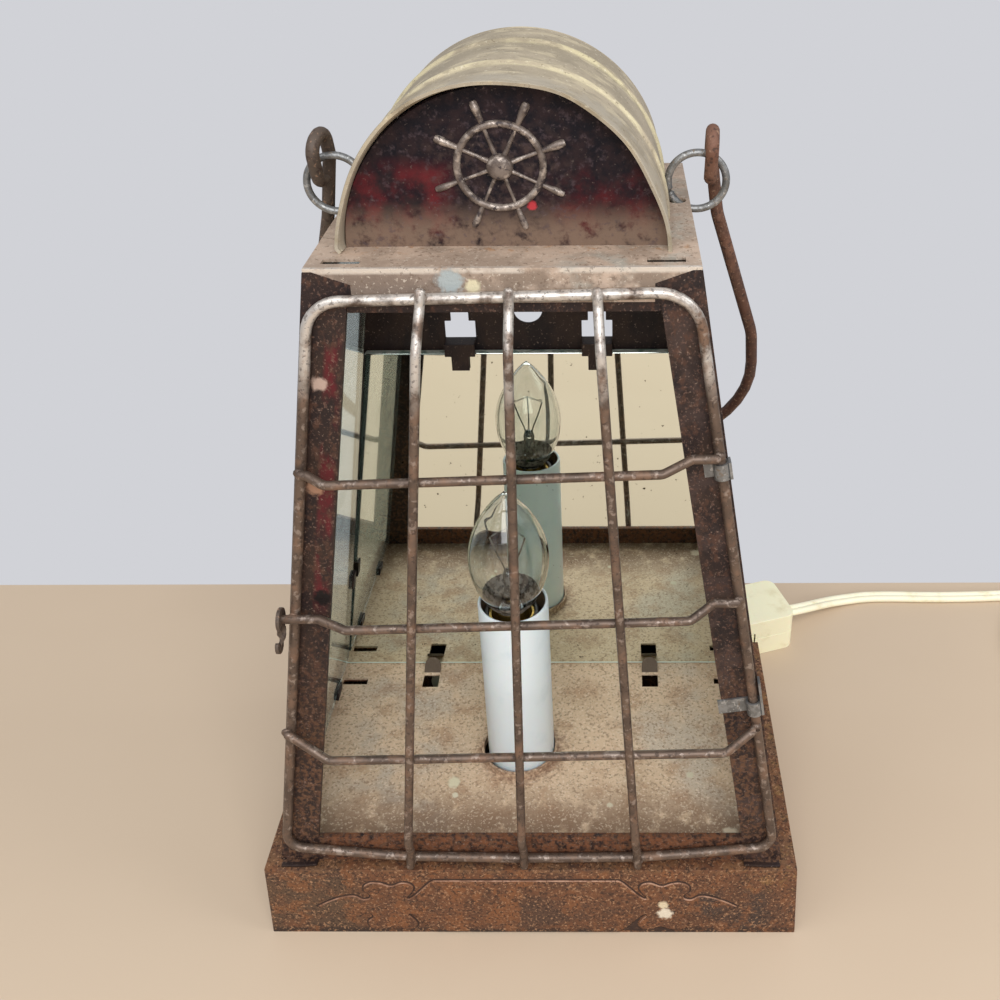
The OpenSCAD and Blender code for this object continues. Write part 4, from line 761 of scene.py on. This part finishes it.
# Base ornament: the outline of two scrolled ends on a long panel, pressed out of the front wall
ornamentSpec = {
    "middle": -1.4, "height": 12.0, "proud": 0.5, "lean": 2.08,
    "quarter": [
        (28.0, 11.3), (29.4, 10.3), (31.5, 7.9), (34.4, 4.6), (36.2, 3.3), (36.6, 4.1), (35.1, 6.2), (34.4, 8.2),
        (35.5, 9.9), (38.0, 10.3), (41.2, 8.9), (44.2, 10.1), (47.0, 10.4), (49.3, 9.1), (49.6, 6.8), (48.0, 5.1),
        (48.3, 3.5), (50.4, 3.1), (52.8, 4.6), (56.2, 4.2), (60.6, 2.3), (64.4, 0.0)],
}

# the same rusty sheet: dark round a raised edge, a painted shadow line with packed dirt; light on top of it, a painted
# highlight with rubbed wear
edgeShadowAndDirt = weatheredSteel("paintedShadowDirtySteel", {
    "colours": ("#2c1c15", "#3a271d"), "mottle": 3, "rough": 0.8, "metal": 0.0,
    "layers": [{"size": 1.1, "start": 0.55, "soft": 0.1, "colour": "#4d3527"}]})
edgeHighlightAndRub = weatheredSteel("paintedHighlightRubbedSteel", {
    "colours": ("#a9826a", "#7b563f"), "mottle": 4, "rough": 0.5, "metal": 0.2,
    "layers": [{"size": 1.1, "start": 0.55, "soft": 0.1, "colour": "#6b4a36"}]})


def outlinePlate(spec, proud, bevel, grow):
    # a flat plate of the ornament's outline, grown sideways, with its front proud of the wall; all in mm
    quarter = smoothLine([mm(x, z, 0) for x, z in spec["quarter"]], 4)
    upper = quarter + [Vector((p.x, -p.y, 0)) for p in reversed(quarter[:-1])]
    outline = upper + [Vector((-p.x, p.y, 0)) for p in reversed(upper)]
    bpy.ops.object.select_all(action="DESELECT")
    bpy.ops.curve.primitive_bezier_circle_add()
    piece = bpy.context.object
    piece.data.splines.clear()
    piece.data.dimensions = "2D"
    spline = piece.data.splines.new("POLY")
    spline.points.add(len(outline) - 1)
    for target, place in zip(spline.points, outline):
        target.co = (*place, 1.0)
    spline.use_cyclic_u = True
    piece.data.fill_mode = "BOTH"
    piece.data.extrude = 0.0002
    piece.data.bevel_depth = bevel / 1000
    piece.data.bevel_resolution = 2
    piece.data.offset = grow / 1000
    bpy.ops.object.convert(target="MESH")
    piece = bpy.context.object
    wall = -50.564 - proud + 0.2 + bevel
    piece.data.transform(Matrix.Translation(mm(spec["middle"], wall, spec["height"]))
                         @ Matrix.Rotation(math.pi / 2 - math.radians(spec["lean"]), 4, "X"))
    return piece


def makeOrnament(spec):
    panel = outlinePlate(spec, spec["proud"], 0.35, -0.35)
    for material in (baseSteel, edgeHighlightAndRub):
        panel.data.materials.append(material)
    # faces turned upward take the lighter sheet: a painted highlight, with rubbed wear
    for face in panel.data.polygons:
        face.material_index = 1 if face.normal.z > 0.3 else 0
    # a slightly wider thin dark plate round the panel: a painted shadow line, with packed dirt
    shadowOutline = outlinePlate(spec, 0.08, 0.05, 0.45)
    shadowOutline.data.materials.append(edgeShadowAndDirt)
    return finishPiece(joined([panel, shadowOutline]), "baseOrnament", None, "body", (), 40)


makeOrnament(ornamentSpec)

# Foot tabs: the posts' lower ends, folded forward onto the base's ledge
tabSpec = {"inner": 64.5, "outer": 75.4, "reach": 2.9, "thick": 0.8}


def makeFootTab(spec, side):
    bpy.ops.object.select_all(action="DESELECT")
    middle = side * (spec["inner"] + spec["outer"]) / 2
    foot = -bodyMeasures["frontFoot"] - spec["reach"] / 2 + 0.1
    bpy.ops.mesh.primitive_cube_add(size=1, location=mm(middle, foot, bodyMeasures["baseTop"] + spec["thick"] / 2 + 0.02))
    tab = bpy.context.object
    tab.scale = mm(spec["outer"] - spec["inner"], spec["reach"], spec["thick"])
    bpy.ops.object.transform_apply(location=True, rotation=True, scale=True)
    bpy.ops.object.mode_set(mode="EDIT")
    bpy.ops.mesh.select_all(action="SELECT")
    bpy.ops.mesh.subdivide(number_cuts=3)
    bpy.ops.object.mode_set(mode="OBJECT")
    for vertex in tab.data.vertices:  # the free corner stands up a little
        out = max(0.0, (-46.3 - vertex.co.y * 1000) / spec["reach"])
        vertex.co.z += 0.0007 * out * max(0.0, 1 - (side * vertex.co.x * 1000 - spec["inner"]) / 6)
    applyModifier(tab, "BEVEL", width=0.0002, segments=2, limit_method="ANGLE")
    return tab


finishPiece(joined([makeFootTab(tabSpec, -1), makeFootTab(tabSpec, 1)]), "footTabs", postSteel, "body")
print("base trim made")

# Guard: frame loop, three uprights and three cross wires, spot welded where they meet
guardSpec = {
    "frameWire": 2.8, "gridWire": 2.5, "inset": 2.0, "foot": 35.0, "head": 211.0, "frameOff": 1.8, "droop": 2.0,
    "sag": 4.7, "sagAt": [(-38, 0.83), (-3, 1), (34, 0.9)], "bends": [0.005, 0.011, 0.009, 0.005, 0.110, 0.160, 0.110],
    "gridOff": 4.3, "barOff": 9.35, "reach": 7.0,
    "barTop": 1.5, "barFoot": -1.4, "stepTop": 21.4, "stepFoot": 33.2, "tilt": 1.4,
    "cross": [(136.4, 0, 4.1, -0.4, 2, 7, 15, 7), (92.4, 0.2, 5.1, -4.4, 7, 14.5, 14, 7),
              (47.4, 5.4, 7.1, -0.4, 1, 12, 10, 1)],
}


def makeGuard(spec):
    def half(z):
        return halfAt(z) - spec["inset"]

    foot, head = spec["foot"], spec["head"]
    corners = [(s * half(z), z) for s, z in ((1, foot), (1, head), (-1, head - spec["droop"]), (-1, foot))]
    corners += [(x, foot - spec["sag"] * share) for x, share in spec["sagAt"]]
    loop = bentLine([onFace(x, z, spec["frameOff"]) for x, z in corners], spec["bends"], 8, True)
    frameLoop = wireTube([loop], spec["frameWire"], True)
    heights = [(foot - 6, spec["gridOff"]), (foot + 1, spec["gridOff"]), (foot + 9.5, spec["barOff"]),
               (head - 12, spec["barOff"]), (head - 2.5, spec["gridOff"]), (head + 2, spec["gridOff"])]
    uprights, welds = [], []
    for k in (-1, 0, 1):
        points = []
        for z, off in heights:
            t = (z - foot - 7) / (head - foot - 18)
            x = (1 - t) * (spec["barFoot"] + k * spec["stepFoot"]) + t * (spec["barTop"] + k * spec["stepTop"])
            points.append(onFace(x, z, off))
        uprights.append(bentLine(points, [0.004, 0.005, 0.006, 0.004]))
        welds += [points[0] * 0.78 + points[1] * 0.22, points[4] * 0.55 + points[5] * 0.45]
    crossWires = []
    for rise, leftUp, rightUp, a, b, c, d, e in spec["cross"]:
        z = bodyMeasures["baseTop"] + rise
        s = half(z)
        points = [
            onFace(-s + a, z + leftUp, spec["gridOff"]), onFace(-s + b, z + leftUp, spec["gridOff"]),
            onFace(-s + c, z - spec["tilt"], spec["reach"]), onFace(s - d, z + spec["tilt"], spec["reach"]),
            onFace(half(z + rightUp) - e, z + rightUp, spec["gridOff"]), onFace(half(z + rightUp), z + rightUp, spec["gridOff"]),
        ]
        crossWires.append(bentLine(points, [0.0015, 0.004, 0.004, 0.0015]))
        welds += [points[5] + mm(-0.3, 0, 0), onFace(-s, z + leftUp, spec["gridOff"])]
    finishPiece(frameLoop, "guardFrame", guardSteel, "guard", ["guard_frame"], 60)
    finishPiece(wireTube(uprights, spec["gridWire"]), "guardUprightWires", guardSteel, "guard",
                ["guard_upright_wires"], 60)
    nuggets = []
    for place in welds:  # squeezed metal between the frame wire and each end
        bpy.ops.object.select_all(action="DESELECT")
        bpy.ops.mesh.primitive_ico_sphere_add(subdivisions=2, radius=0.0012, location=place + mm(0, 1.1, -0.1))
        nugget = bpy.context.object
        nugget.scale = (1.35, 0.8, 1.2)
        bpy.ops.object.transform_apply(location=True, rotation=True, scale=True)
        nuggets.append(nugget)
    finishPiece(joined([wireTube(crossWires, spec["gridWire"]), *nuggets]), "guardCrossWires", guardSteel, "guard",
                ["guard_cross_wires"], 60)


makeGuard(guardSpec)

# Latch: a twisted strip round the middle cross wire's end, with a curl at its foot
latchSpec = {"eye": 1.95, "width": 2.6, "thick": 0.9, "z": 120.1}


def makeLatch(spec):
    eyeAt = onFace(-halfAt(spec["z"]) - 1.3, spec["z"], 4.3)
    line = [eyeAt + mm(0, spec["eye"] * math.sin(a), spec["eye"] * math.cos(a))
            for a in (math.radians(d) for d in range(-160, 181, 20))]
    line += [eyeAt + mm(*p) for p in ((-0.2, 0, -3.0), (-0.4, 0.1, -4.4), (-0.6, 0, -5.8), (-0.8, -0.1, -7.0),
                                      (-0.9, -0.7, -8.3), (-1.0, -1.9, -8.9), (-1.0, -3.0, -8.1),
                                      (-1.0, -3.0, -6.9), (-1.0, -2.1, -6.4))]
    tilts = [0.0] * 18 + [0.4, 1.2, 2.0, 2.8, 3.14, 3.14, 3.14, 3.14, 3.14]
    bpy.ops.object.select_all(action="DESELECT")
    bpy.ops.curve.primitive_nurbs_path_add()
    piece = bpy.context.object
    piece.data.splines.clear()
    spline = piece.data.splines.new("POLY")
    spline.points.add(len(line) - 1)
    for target, place, tilt in zip(spline.points, line, tilts):
        target.co = (*place, 1.0)
        target.tilt = tilt
    piece.data.twist_mode = "MINIMUM"
    piece.data.extrude = spec["width"] / 2000
    bpy.ops.object.convert(target="MESH")
    piece = bpy.context.object
    applyModifier(piece, "SUBSURF", levels=1, render_levels=1)
    applyModifier(piece, "SOLIDIFY", thickness=spec["thick"] / 1000, offset=0)
    applyModifier(piece, "BEVEL", width=0.00012, segments=2, limit_method="ANGLE", angle_limit=math.radians(40))
    return finishPiece(piece, "latchClasp", bailIron, "latch", ["latch_clasp"], 50)


makeLatch(latchSpec)

# Rings: each a bent wire whose ends meet low inside the roof
ringSpec = {"radius": 7.8, "wire": 2.1, "x": 48.6, "y": 13.0, "z": 221.9, "gap": 3}


def makeRing(spec, side, name, body):
    turns = [math.radians(200 + spec["gap"] / 2 + k * (360 - spec["gap"]) / 64) for k in range(65)]
    line = [mm(side * (spec["x"] + spec["radius"] * math.cos(t)), spec["y"], spec["z"] + spec["radius"] * math.sin(t))
            for t in turns]
    finishPiece(wireTube([line], spec["wire"], False, 4), name, zincSteel, body, [body], 60)


makeRing(ringSpec, -1, "leftRing", "left_ring")
makeRing(ringSpec, 1, "rightRing", "right_ring")

# Bail: one thick wire with an eye bent round each ring
bailSpec = {"wire": 3.6, "width": 146.0, "length": 121.7, "bend": 38.0, "lean": 19.7, "shift": 0.7,
            "eyeX": 52.2, "eyeHalf": 4.2, "eyeRoom": 0.233, "pivot": (0, 13.0, 228.8195)}


def makeBail(spec):
    lean = math.radians(spec["lean"])
    down, across = Vector((0, math.sin(lean), -math.cos(lean))), Vector((0, math.cos(lean), math.sin(lean)))

    def onBail(x, s, t):
        side = math.copysign(1, x)
        out = side * (spec["shift"] + t / spec["eyeHalf"])
        if s < 14:  # an eye's wire has to turn clear inside its ring
            out = min(out, spec["eyeRoom"])
        return mm(*spec["pivot"]) + mm(x + side * out, 0, 0) + s / 1000 * down + t / 1000 * across

    e, h, w, l = spec["eyeX"], spec["eyeHalf"], spec["width"] / 2, spec["length"]
    half = [(e, 5.6, -0.9), (e, 5.6, -h), (e, -7, -h), (e, -7, h), (e, 1.5, h), (e + 2, 19, 0),
            (w - 4.9, l - 54.7, 0), (w, l, 0)]
    turns = [3, 4.1, 4.1, 8, 14, 30, spec["bend"]]
    points = [onBail(*p) for p in half] + [onBail(-x, s, t) for x, s, t in reversed(half)]
    line = bentLine(points, [r / 1000 for r in turns + turns[::-1]], 10)
    return finishPiece(wireTube([line], spec["wire"], False, 5), "bailHandle", bailIron, "bail",
                       ["bail_handle"], 60)


makeBail(bailSpec)
print("guard, latch, rings and bail made")

# Mirror: float glass, silvered behind, gone a little cream, with a pale green sawn edge
silvering, silverTree, silverShader = startMaterial("silveredMirrorGlass", Metallic=1.0, Roughness=0.02)
silverPoint = addNode(silverTree, "ShaderNodeTexCoord", {}).outputs["Object"]
spotted = addNode(silverTree, "ShaderNodeMix", {
    0: patches(silverTree, silverPoint, 1.6, 0.68, 0.03), 6: srgb("#e3e9e0"), 7: srgb("#4a4438")}, data_type="RGBA")
silverEdge = inBand(silverTree, silverPoint, up, 28.7, 0.45, 0.15)  # its unsilvered foot shows the glass
silverMix = addNode(silverTree, "ShaderNodeMix", {
    0: silverEdge, 6: spotted.outputs[2], 7: srgb("#d3e2d4")}, data_type="RGBA")
silverBare = addNode(silverTree, "ShaderNodeMath", {0: 1.0, 1: silverEdge}, operation="SUBTRACT")
silverTree.links.new(silverMix.outputs[2], silverShader.inputs["Base Color"])
silverTree.links.new(silverBare.outputs[0], silverShader.inputs["Metallic"])
sawnGlass, sawnTree, sawnShader = startMaterial("paleGreenSawnGlassEdge", Roughness=0.25, IOR=1.52, Coat_Weight=0.5)
sawnPoint = addNode(sawnTree, "ShaderNodeTexCoord", {}).outputs["Object"]
sawnMix = addNode(sawnTree, "ShaderNodeMix", {
    0: patches(sawnTree, sawnPoint, 4, 0.45, 0.2), 6: srgb("#dfe6dc"), 7: srgb("#8fa79b")}, data_type="RGBA")
sawnTree.links.new(sawnMix.outputs[2], sawnShader.inputs["Base Color"])
mirror = dressNode("back_mirror", "backMirror", silvering, 0.35, 2, 20)
mirror.data.materials.append(sawnGlass)
for face in mirror.data.polygons:
    face.material_index = 0 if face.normal.y < -0.9 else 1

# Window panes: thin float glass, a touch green, faintly patchy
paneGlass, paneTree, paneShader = startMaterial("thinFloatGlass", Roughness=0.03, IOR=1.5, Transmission_Weight=0.93)
panePoint = addNode(paneTree, "ShaderNodeTexCoord", {}).outputs["Object"]
paneMix = addNode(paneTree, "ShaderNodeMix", {
    0: patches(paneTree, panePoint, 14, 0.5, 0.2), 6: srgb("#dfeae6"), 7: srgb("#c2cfc9")}, data_type="RGBA")
paneTree.links.new(paneMix.outputs[2], paneShader.inputs["Base Color"])
dressNode("left_glass", "leftGlass", paneGlass, 0.25)
dressNode("right_glass", "rightGlass", paneGlass, 0.25)
print("mirror and panes made")

# Candle sleeve: moulded polystyrene tube, bluish white, faintly waxy
sleevePlastic, sleeveTree, sleeveShader = startMaterial(
    "bluishWhitePolystyrene", Roughness=0.33, IOR=1.55, Subsurface_Weight=0.12)
sleeveShader.inputs["Subsurface Scale"].default_value = 0.003
sleevePoint = addNode(sleeveTree, "ShaderNodeTexCoord", {}).outputs["Object"]
sleeveMix = addNode(sleeveTree, "ShaderNodeMix", {
    0: patches(sleeveTree, sleevePoint, 12, 0.5, 0.25), 6: srgb("#e6eef1"), 7: srgb("#dbe6ea")}, data_type="RGBA")
sleeveWave = addNode(sleeveTree, "ShaderNodeTexNoise", {"Vector": sleevePoint, "Scale": 120.0, "Detail": 2.0}).outputs[0]
sleeveBump = addNode(sleeveTree, "ShaderNodeBump", {"Height": sleeveWave, "Strength": 0.6, "Distance": 0.0001})
sleeveTree.links.new(sleeveMix.outputs[2], sleeveShader.inputs["Base Color"])
sleeveTree.links.new(sleeveBump.outputs[0], sleeveShader.inputs["Normal"])

lampSpec = {"x": -6.3, "y": -3.6, "sleeveX": -5.7, "sleeveTop": 92.8, "sleeveLow": 16.7, "bulbWide": 24.8}


def spunAtLamp(profile, x=lampSpec["x"], steps=64):
    y = lampSpec["y"]
    return spunPiece([mm(x + r, y, z) for r, z in profile], mm(x, y, 0), (0, 0, 1), 360, steps)


top, low = lampSpec["sleeveTop"], lampSpec["sleeveLow"]
sleeve = spunAtLamp([(10.05, low), (10.9, low), (11.0, low + 0.3), (11.0, 60), (11.0, top - 0.6), (10.85, top - 0.2),
                     (10.5, top), (10.15, top - 0.15), (10.0, top - 0.5), (10.0, 60), (10.0, low + 0.2), (10.05, low)],
                    lampSpec["sleeveX"])
sleeve = finishPiece(sleeve, "candleSleeve", sleevePlastic, "body", ["candle_sleeve"])
# the same plastic, browned inside by the lamp's heat
brownedPlastic, brownedTree, brownedShader = startMaterial("heatBrownedPolystyrene", Roughness=0.5, IOR=1.55)
brownedPoint = addNode(brownedTree, "ShaderNodeTexCoord", {}).outputs["Object"]
brownedMix = addNode(brownedTree, "ShaderNodeMix", {
    0: patches(brownedTree, brownedPoint, 3, 0.45, 0.2), 6: srgb("#6e5c44"), 7: srgb("#352a20")}, data_type="RGBA")
brownedTree.links.new(brownedMix.outputs[2], brownedShader.inputs["Base Color"])
sleeve.data.materials.append(brownedPlastic)
for face in sleeve.data.polygons:
    outward = face.center - mm(lampSpec["sleeveX"], lampSpec["y"], face.center.z * 1000)
    if face.normal.dot(outward) < 0 and face.center.z < (top - 0.6) / 1000:
        face.material_index = 1

# Socket: moulded phenolic, dull black; its shell and the bulb's cap: pressed brass, tarnished
phenolic, phenolicTree, phenolicShader = startMaterial("blackMouldedPhenolic", Roughness=0.45, IOR=1.6)
phenolicPoint = addNode(phenolicTree, "ShaderNodeTexCoord", {}).outputs["Object"]
phenolicMix = addNode(phenolicTree, "ShaderNodeMix", {
    0: patches(phenolicTree, phenolicPoint, 4, 0.5, 0.2), 6: srgb("#2b2724"), 7: srgb("#47403a")}, data_type="RGBA")
phenolicTree.links.new(phenolicMix.outputs[2], phenolicShader.inputs["Base Color"])
brass, brassTree, brassShader = startMaterial("tarnishedPressedBrass", Metallic=1.0, Roughness=0.36)
brassPoint = addNode(brassTree, "ShaderNodeTexCoord", {}).outputs["Object"]
brassMix = addNode(brassTree, "ShaderNodeMix", {
    0: patches(brassTree, brassPoint, 2.5, 0.48, 0.2), 6: srgb("#b89b58"), 7: srgb("#6e5a34")}, data_type="RGBA")
brassTree.links.new(brassMix.outputs[2], brassShader.inputs["Base Color"])
dressNode("lamp_socket", "lampSocket", phenolic, 0.4, 3)
dressNode("socket_shell", "socketShell", brass, 0.15)


def makeCap():
    # rolled screw thread drawn as rings at its 2.5 mm pitch
    base, high = 69.0, 91.0
    profile = [(0, base), (2.6, base), (3.0, base + 0.4), (3.0, base + 2.4)]
    profile += [(5.55 + 0.4 * math.cos(2 * math.pi * (z - 72) / 2.5), z) for z in [72 + 0.5 * k for k in range(31)]]
    profile += [(5.95, 88.6), (5.95, high - 0.4), (5.8, high), (5.6, high), (5.55, high - 0.5), (5.55, 76), (0, 75.6)]
    finishPiece(spunAtLamp(profile, steps=48), "bulbCap", brass, "body", ["bulb_cap"], 40)


makeCap()

# Bulb: thin blown soda glass, clear, with a glass stem, two support wires and a coiled filament
bulbGlass, bulbTree, bulbShader = startMaterial("blownClearGlass", Roughness=0.0, IOR=1.48, Transmission_Weight=1.0)
bulbPoint = addNode(bulbTree, "ShaderNodeTexCoord", {}).outputs["Object"]
bulbMix = addNode(bulbTree, "ShaderNodeMix", {
    0: patches(bulbTree, bulbPoint, 10, 0.5, 0.2), 6: srgb("#f6f8f7"), 7: srgb("#e9eeec")}, data_type="RGBA")
bulbTree.links.new(bulbMix.outputs[2], bulbShader.inputs["Base Color"])
# the same glass at its foot, clouded by sputtered metal and dirt
cloudedGlass, cloudedTree, cloudedShader = startMaterial("cloudedFootGlass", Roughness=0.3, IOR=1.48, Transmission_Weight=0.25)
cloudedPoint = addNode(cloudedTree, "ShaderNodeTexCoord", {}).outputs["Object"]
cloudedMix = addNode(cloudedTree, "ShaderNodeMix", {
    0: patches(cloudedTree, cloudedPoint, 1.6, 0.46, 0.1), 6: srgb("#a79f95"), 7: srgb("#3b342e")}, data_type="RGBA")
cloudedTree.links.new(cloudedMix.outputs[2], cloudedShader.inputs["Base Color"])


def makeBulb():
    neck, widest, low, middle, tip = 6.6, 12.4, 92.5, 109.2, 133.2
    heights = [low + (middle - low) * (1 - math.cos(math.radians(90 * k / 14))) for k in range(14)]
    heights += [middle + (tip - middle) * math.sin(math.radians(90 * k / 22)) for k in range(22)]
    outer = [(5.4, 87.0), (5.4, 91.0), (5.6, 91.9), (6.1, 92.4)]
    for z in heights[1:]:
        if z < middle:
            r = neck + (widest - neck) * math.sin(math.pi / 2 * (z - low) / (middle - low)) ** 0.75
        else:
            r = widest * math.cos(math.pi / 2 * (z - middle) / (tip - middle)) ** 0.8
        outer.append((r, z))
    outer += [(0.7, tip - 0.25), (0, tip)]
    wall = 0.5
    inner = [(max(r - wall, 0), z - (0.3 if z > 126 else 0)) for r, z in reversed(outer[:-2])]
    glass = spunAtLamp(outer + [(0, tip - 0.9)] + [p for p in inner if p[1] < tip - 1.2] + [outer[0]], steps=56)
    glass = finishPiece(glass, "bulbGlass", bulbGlass, "body", ["bulb_glass"], 60)
    glass.data.materials.append(cloudedGlass)
    for face in glass.data.polygons:
        if face.center.z < 0.0958:
            face.material_index = 1


makeBulb()

# Drawn nickel wire for the supports and the filament
supportWire, supportTree, supportShader = startMaterial("drawnNickelWire", Metallic=1.0, Roughness=0.3)
supportPoint = addNode(supportTree, "ShaderNodeTexCoord", {}).outputs["Object"]
supportMix = addNode(supportTree, "ShaderNodeMix", {
    0: patches(supportTree, supportPoint, 2, 0.5, 0.2), 6: srgb("#8f8a80"), 7: srgb("#5f5a52")}, data_type="RGBA")
supportTree.links.new(supportMix.outputs[2], supportShader.inputs["Base Color"])


def makeStem():
    x, y = lampSpec["x"], lampSpec["y"]
    stem = spunAtLamp([(0, 88.0), (4.6, 88.0), (4.8, 88.4), (3.4, 90.5), (2.3, 93.5), (1.9, 98), (2.1, 102.6),
                       (1.6, 104.4), (0, 105.2)], steps=28)
    stem.data.materials.append(bulbGlass)
    wires = []
    for s in (-1, 1):
        wires.append([mm(x + s * 1.1, y, 100), mm(x + s * 1.4, y, 105), mm(x + s * 3.6, y, 111), mm(x + s * 5.4, y, 116.6)])
    wires.append([mm(x, y, 104), mm(x + 0.2, y + 0.6, 112), mm(x, y + 1.5, 119.6)])
    filament = []
    ends = [mm(x - 5.4, y, 116.6), mm(x, y + 1.5, 119.4), mm(x + 5.4, y, 116.6)]
    for a, b in zip(ends, ends[1:]):
        for k in range(60):
            t = k / 60
            filament.append(a.lerp(b, t) + mm(0, 0.32 * math.sin(k * 1.05), 0.32 * math.cos(k * 1.05)))
    metalParts = [wireTube([smoothLine(w, 5) for w in wires], 0.55, False, 2), wireTube([filament], 0.18, False, 1)]
    for piece in metalParts:
        piece.data.materials.append(supportWire)
    finishPiece(joined([stem, *metalParts]), "bulbMount", None, "body", ["bulb_mount"], 60)


makeStem()
print("lamp made")

# Bushing and the lead inside the base
bushingSpec = {"x": -40.0, "wall": 50.636, "z": 10.0, "length": 20.0}


def makeBushing(spec):
    profile = [(0, -3.6), (5.2, -3.6), (5.4, -3.4), (5.4, -1.8), (5.2, -1.6), (4.1, -1.6), (4.1, 0), (5.2, 0), (5.4, 0.2),
               (5.4, 1.3), (5.1, 1.5), (4.6, 1.6)]
    for k in range(6):  # grooves round its tail
        at, r = 3.2 + 2.6 * k, 4.5 - 0.2 * k
        profile += [(r, at - 0.5), (r - 0.5, at), (r - 0.5, at + 0.6), (r - 0.05, at + 1.1)]
    profile += [(3.4, spec["length"] - 0.3), (3.1, spec["length"]), (0, spec["length"])]
    centre = mm(spec["x"], spec["wall"], spec["z"])
    piece = spunPiece([centre + mm(r, s, 0) for r, s in profile], centre, (0, 1, 0), 360, 32)
    return finishPiece(piece, "cordBushing", mouldedVinyl, "body", ["cord_bushing"], 40)


makeBushing(bushingSpec)
lead = bentLine([mm(-40, 47.05, 10), mm(-40, 10.4, 7), mm(-6.3, -3.6, 6), mm(-6.3, -3.6, 64)], [0.010, 0.003])
finishPiece(wireTube([lead], 2.4), "innerLead", cordVinyl, "body", ["inner_lead"], 60)
print("cord fittings made")
